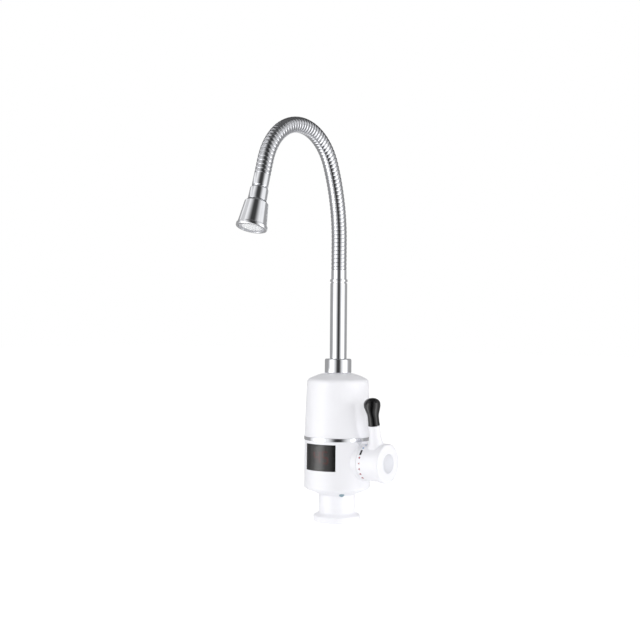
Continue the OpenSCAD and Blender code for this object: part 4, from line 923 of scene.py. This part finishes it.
def makeOutletRing():
    r = Sizes(**outletRing)
    return turned("outletRing", [
        (r.bore, r.start), (r.outer, r.start), (r.outer, r.end, 0.4), (r.mouth, r.end, 0.3), (r.mouth, r.ledge),
        (r.bore, r.ledge),
    ], headAxis)


# one soft nozzle: a short cone round a hole that the plate closes below
def makeNozzle():
    n = Sizes(**nozzle)
    outline = [
        (n.holeLow, n.low), (n.root, n.low), (n.tip, n.high), (n.holeHigh, n.high), (n.holeWaist, n.waistHeight),
    ]
    return turned("nozzle", outline, soft=0.12, sides=16)


def makeNozzleTree():
    tree, given = newTree("nozzleRings", (
        ("Plate", "Geometry"), ("Nozzle", "Object"), ("Nozzles on first ring", "Int"), ("Ring step", "Float"),
        ("Height", "Float"), ("Finish", "Material"),
    ))
    lift = addNode(tree, "ShaderNodeCombineXYZ", {}, {"Z": given["Height"]})
    places = addNode(tree, "GeometryNodeJoinGeometry")
    for k in range(1, nozzles["rings"] + 1):
        count, radius = (
            addNode(tree, "ShaderNodeMath", {"operation": "MULTIPLY"}, {0: given[name], 1: k})
            for name in ("Nozzles on first ring", "Ring step")
        )
        circle = addNode(tree, "GeometryNodeMeshCircle", {}, {"Vertices": count, "Radius": radius})
        raised = addNode(tree, "GeometryNodeTransform", {}, {"Geometry": circle, "Translation": lift})
        tree.links.new(raised.outputs[0], places.inputs[0])
    shape = addNode(tree, "GeometryNodeObjectInfo", {}, {"Object": given["Nozzle"]})
    inputs = {"Points": places, "Instance": shape.outputs["Geometry"]}
    placed = addNode(tree, "GeometryNodeInstanceOnPoints", {}, inputs)
    both = addNode(tree, "GeometryNodeJoinGeometry")
    tree.links.new(placed.outputs[0], both.inputs[0])
    tree.links.new(given["Plate"], both.inputs[0])
    return endTree(tree, both, given["Finish"])


def makeNozzlePlate():
    n = Sizes(**nozzles)
    plate = asObject(turned("plate", [
        (0, n.plateLow), (n.plate, n.plateLow, 0.2), (n.plate, n.plateHigh, 0.4), (0, n.plateHigh),
    ]))
    single = asObject(makeNozzle())
    mesh = runTree(plate, makeNozzleTree(), {
        "Nozzle": single, "Nozzles on first ring": n.perRing, "Ring step": n.step * mm,
        "Height": n.plateHigh * mm, "Finish": siliconePlate,
    })
    mesh.transform(headAxis @ Matrix.Scale(1 / mm, 4))
    mesh.name = "nozzlePlate"
    bpy.data.objects.remove(plate)
    bpy.data.objects.remove(single)
    return mesh


addPiece(makeBell(), chromePlate, "bell", "chrome_plate", "head_bell")
addPiece(makeOutletRing(), greyAbs, "bell", "natural_plastic", "aerator")
addPiece(makeNozzlePlate(), siliconePlate, "bell", "natural_plastic", "nozzle_plate")
print("stage: spray head")

# camera: level, 35 degrees to the handle's side, as far away as the photograph's lens was
view = {
    "azimuth": 35.0, "distance": 1300.0, "height": 213.5, "aside": 19.7, "lean": 0.5, "pixels": 640,
    "mmPerPixel": 1.065, "near": 0.05, "far": 50.0,
}
# the floor is a light table: weak as a light, bright as it is seen; "half" is half its width in metres
floorTable = {"half": 6, "light": 0.28, "seen": 0.88, "paper": "#F4F4F4", "shaded": "#A4A4A4", "rough": 0.8}
# the surroundings' light on the object and what its metal mirrors, from level to the zenith; heights are 0 to 1
sky = {"level": 0.6, "zenith": 0.38, "mirrored": 1.0, "mirroredZenith": 0.15, "fallFrom": 0.4, "fallTo": 0.8}
# a large lamp at the left, one behind the camera, and a small one at the right that draws the grip's shadow;
# angles are round the tap from the camera's side, distances in metres
lamps = {
    "leftSoftbox": {"angle": -86, "distance": 1.7, "height": 0.55, "size": (1.3, 1.6), "watts": 11},
    "frontSoftbox": {"angle": 6, "distance": 1.9, "height": 0.6, "size": (1.0, 1.0), "watts": 11},
    "rightSoftbox": {"angle": 86, "distance": 1.8, "height": 0.45, "size": (0.25, 0.5), "watts": 10.5},
}
lampAim = 0.2  # height on the tap's axis that the lamps point at
# upright screens round the tap that only reflections see: dark ones draw the stripes on the chrome, bright ones
# the highlights on the black; each fades at its edges into the white round it, and a row gives a height and the
# angles where the screen starts and ends there
screens = {
    "cameraScreen": {
        "level": 0.05, "soft": 0.42, "rows": [(0.0, -36, 40), (0.38, -36, 40), (0.56, -62, 56), (1.2, -62, 56)],
    },
    "leftSky": {"level": 0.68, "soft": 0.15, "rows": [(0.56, -100, -62), (1.2, -100, -62)]},
    "backScreen": {"level": 0.1, "soft": 0.2, "rows": [(0.5, 92, 260), (1.2, 92, 260)]},
    "leftScreen": {
        "level": 0.38, "soft": 0.2,
        "rows": [(0.0, -180, -92), (0.1, -180, -92), (0.145, -180, -72), (0.5, -180, -72)],
    },
    "rightScreen": {"level": 0.38, "soft": 0.22, "rows": [(0.0, 80, 180), (0.5, 80, 180)]},
    "leftGlow": {
        "level": 3.0, "soft": 0.45, "rows": [(0.0, -92, -36), (0.1, -92, -36), (0.145, -72, -36), (0.4, -72, -36)],
    },
    "rightGlow": {"level": 2.8, "soft": 0.45, "rows": [(0.0, 40, 80), (0.4, 40, 80)]},
}
# they stand at the far distance, and those that reach the floor run in over it to the near one
screenSize = {"near": 0.09, "far": 0.45, "clear": 0.002, "columns": 40}


def makeCamera():
    v = Sizes(**view)
    a = math.radians(v.azimuth)
    data = bpy.data.cameras.new("camera")
    data.lens = data.sensor_width * v.distance / (v.pixels * v.mmPerPixel)
    data.clip_start, data.clip_end = v.near, v.far
    camera = asObject(data)
    toCamera, toRight = Vector((math.sin(a), -math.cos(a), 0)), Vector((math.cos(a), math.sin(a), 0))
    camera.location = (toCamera * v.distance + Vector((0, 0, v.height))) * mm
    aim = (toRight * -v.aside + Vector((0, 0, v.height))) * mm
    camera.rotation_mode = "QUATERNION"
    camera.rotation_quaternion = (aim - camera.location).to_track_quat("-Z", "Y") @ Quaternion(
        (0, 0, 1), math.radians(v.lean)
    )
    bpy.context.scene.camera = camera


def makeFloor():
    f = Sizes(**floorTable)
    bm = bmesh.new()
    for x, y in ((-1, -1), (1, -1), (1, 1), (-1, 1)):
        bm.verts.new((x * f.half, y * f.half, 0))
    bm.faces.new(bm.verts)
    floor = asObject(finishMesh("floor", bm))
    material, tree, shader = plainMaterial("white sweep")
    shader.inputs["Roughness"].default_value = f.rough
    shader.inputs["Specular IOR Level"].default_value = 0.0
    shader.inputs["Emission Color"].default_value = (1, 1, 1, 1)
    path = addNode(tree, "ShaderNodeLightPath").outputs
    # the camera and the reflections see a white that a shadow only dims; the light off it stays that of white paper
    rays = {0: path["Is Camera Ray"], 1: path["Is Glossy Ray"]}
    seen = addNode(tree, "ShaderNodeMath", {"operation": "MAXIMUM"}, rays)
    lift = addNode(tree, "ShaderNodeMix", {"data_type": "FLOAT"}, {"Factor": seen, "A": f.light, "B": f.seen})
    tree.links.new(lift.outputs[0], shader.inputs["Emission Strength"])
    tint(tree, shader, seen, f.paper, f.shaded)
    floor.data.materials.append(material)


def makeWorld():
    s = Sizes(**sky)
    world = bpy.data.worlds.new("surroundings")
    world.use_nodes = True
    bpy.context.scene.world = world
    tree = world.node_tree
    back = tree.nodes["Background"]
    path = addNode(tree, "ShaderNodeLightPath").outputs
    rays = {0: path["Is Camera Ray"], 1: path["Is Transmission Ray"]}
    seen = addNode(tree, "ShaderNodeMath", {"operation": "MAXIMUM"}, rays)
    place = addNode(tree, "ShaderNodeTexCoord").outputs["Generated"]
    height = addNode(tree, "ShaderNodeSeparateXYZ", {}, {0: place}).outputs["Z"]
    light = addNode(
        tree, "ShaderNodeMapRange", {},
        {"Value": height, "From Min": 0.0, "From Max": 1.0, "To Min": s.level, "To Max": s.zenith},
    )
    mirrored = addNode(
        tree, "ShaderNodeMapRange", {"interpolation_type": "SMOOTHSTEP"},
        {
            "Value": height, "From Min": s.fallFrom, "From Max": s.fallTo, "To Min": s.mirrored,
            "To Max": s.mirroredZenith,
        },
    )
    level = addNode(
        tree, "ShaderNodeMix", {"data_type": "FLOAT"},
        {"Factor": path["Is Glossy Ray"], "A": light, "B": mirrored},
    )
    strength = addNode(tree, "ShaderNodeMix", {"data_type": "FLOAT"}, {"Factor": seen, "A": level, "B": 1.0})
    tree.links.new(strength.outputs[0], back.inputs["Strength"])
    back.inputs["Color"].default_value = (1, 1, 1, 1)


def aroundTap(angle, distance, height):
    a = math.radians(view["azimuth"] + angle)
    return Vector((math.sin(a) * distance, -math.cos(a) * distance, height))


def makeLamps():
    for name, item in lamps.items():
        data = bpy.data.lights.new(name, "AREA")
        data.shape = "RECTANGLE"
        data.size, data.size_y = item["size"]
        data.energy = item["watts"]
        lamp = asObject(data)
        lamp.location = aroundTap(item["angle"], item["distance"], item["height"])
        lamp.rotation_euler = (Vector((0, 0, lampAim)) - lamp.location).to_track_quat("-Z", "Y").to_euler()
        lamp.visible_glossy = False


# a glow that the screen's own level gives in its middle and white at its edges
def screenGlow(name, item):
    material, tree, shader = plainMaterial(name)
    tree.nodes.remove(shader)
    across = addNode(tree, "ShaderNodeUVMap", {"uv_map": "across"})
    share = addNode(tree, "ShaderNodeSeparateXYZ", {}, {0: across}).outputs["X"]
    other = addNode(tree, "ShaderNodeMath", {"operation": "SUBTRACT"}, {0: 1.0, 1: share})
    edge = addNode(tree, "ShaderNodeMath", {"operation": "MINIMUM"}, {0: share, 1: other})
    level = addNode(
        tree, "ShaderNodeMapRange", {"interpolation_type": "SMOOTHSTEP"},
        {"Value": edge, "From Min": 0.0, "From Max": item["soft"], "To Min": 1.0, "To Max": item["level"]},
    )
    glow = addNode(tree, "ShaderNodeEmission", {}, {"Strength": level})
    tree.links.new(glow.outputs[0], tree.nodes["Material Output"].inputs["Surface"])
    return material


def makeScreen(name, item):
    bm = bmesh.new()
    layer = bm.loops.layers.uv.new("across")
    size, count = screenSize, screenSize["columns"]
    rows = [(size["far"], *row) for row in item["rows"]]
    if rows[0][1] == 0:
        rows.insert(0, (size["near"], *rows[0][1:]))
    columns = [
        [
            bm.verts.new(aroundTap(first + (last - first) * k / count, distance, max(height, size["clear"])))
            for distance, height, first, last in rows
        ]
        for k in range(count + 1)
    ]
    for k, (left, right) in enumerate(zip(columns, columns[1:])):
        for i in range(len(rows) - 1):
            face = bm.faces.new([left[i], left[i + 1], right[i + 1], right[i]])
            for loop, share in zip(face.loops, (k, k, k + 1, k + 1)):
                loop[layer].uv = (share / count, 0)
    mesh = bpy.data.meshes.new(name)
    bm.to_mesh(mesh)
    bm.free()
    screen = asObject(mesh)
    screen.data.materials.append(screenGlow(name, item))
    screen.visible_camera = screen.visible_diffuse = screen.visible_shadow = False
    screen.visible_transmission = False


makeCamera()
makeFloor()
makeWorld()
makeLamps()
for name, item in screens.items():
    makeScreen(name, item)
bpy.context.scene.view_settings.view_transform = "Standard"
print("stage: camera, floor and lamps")
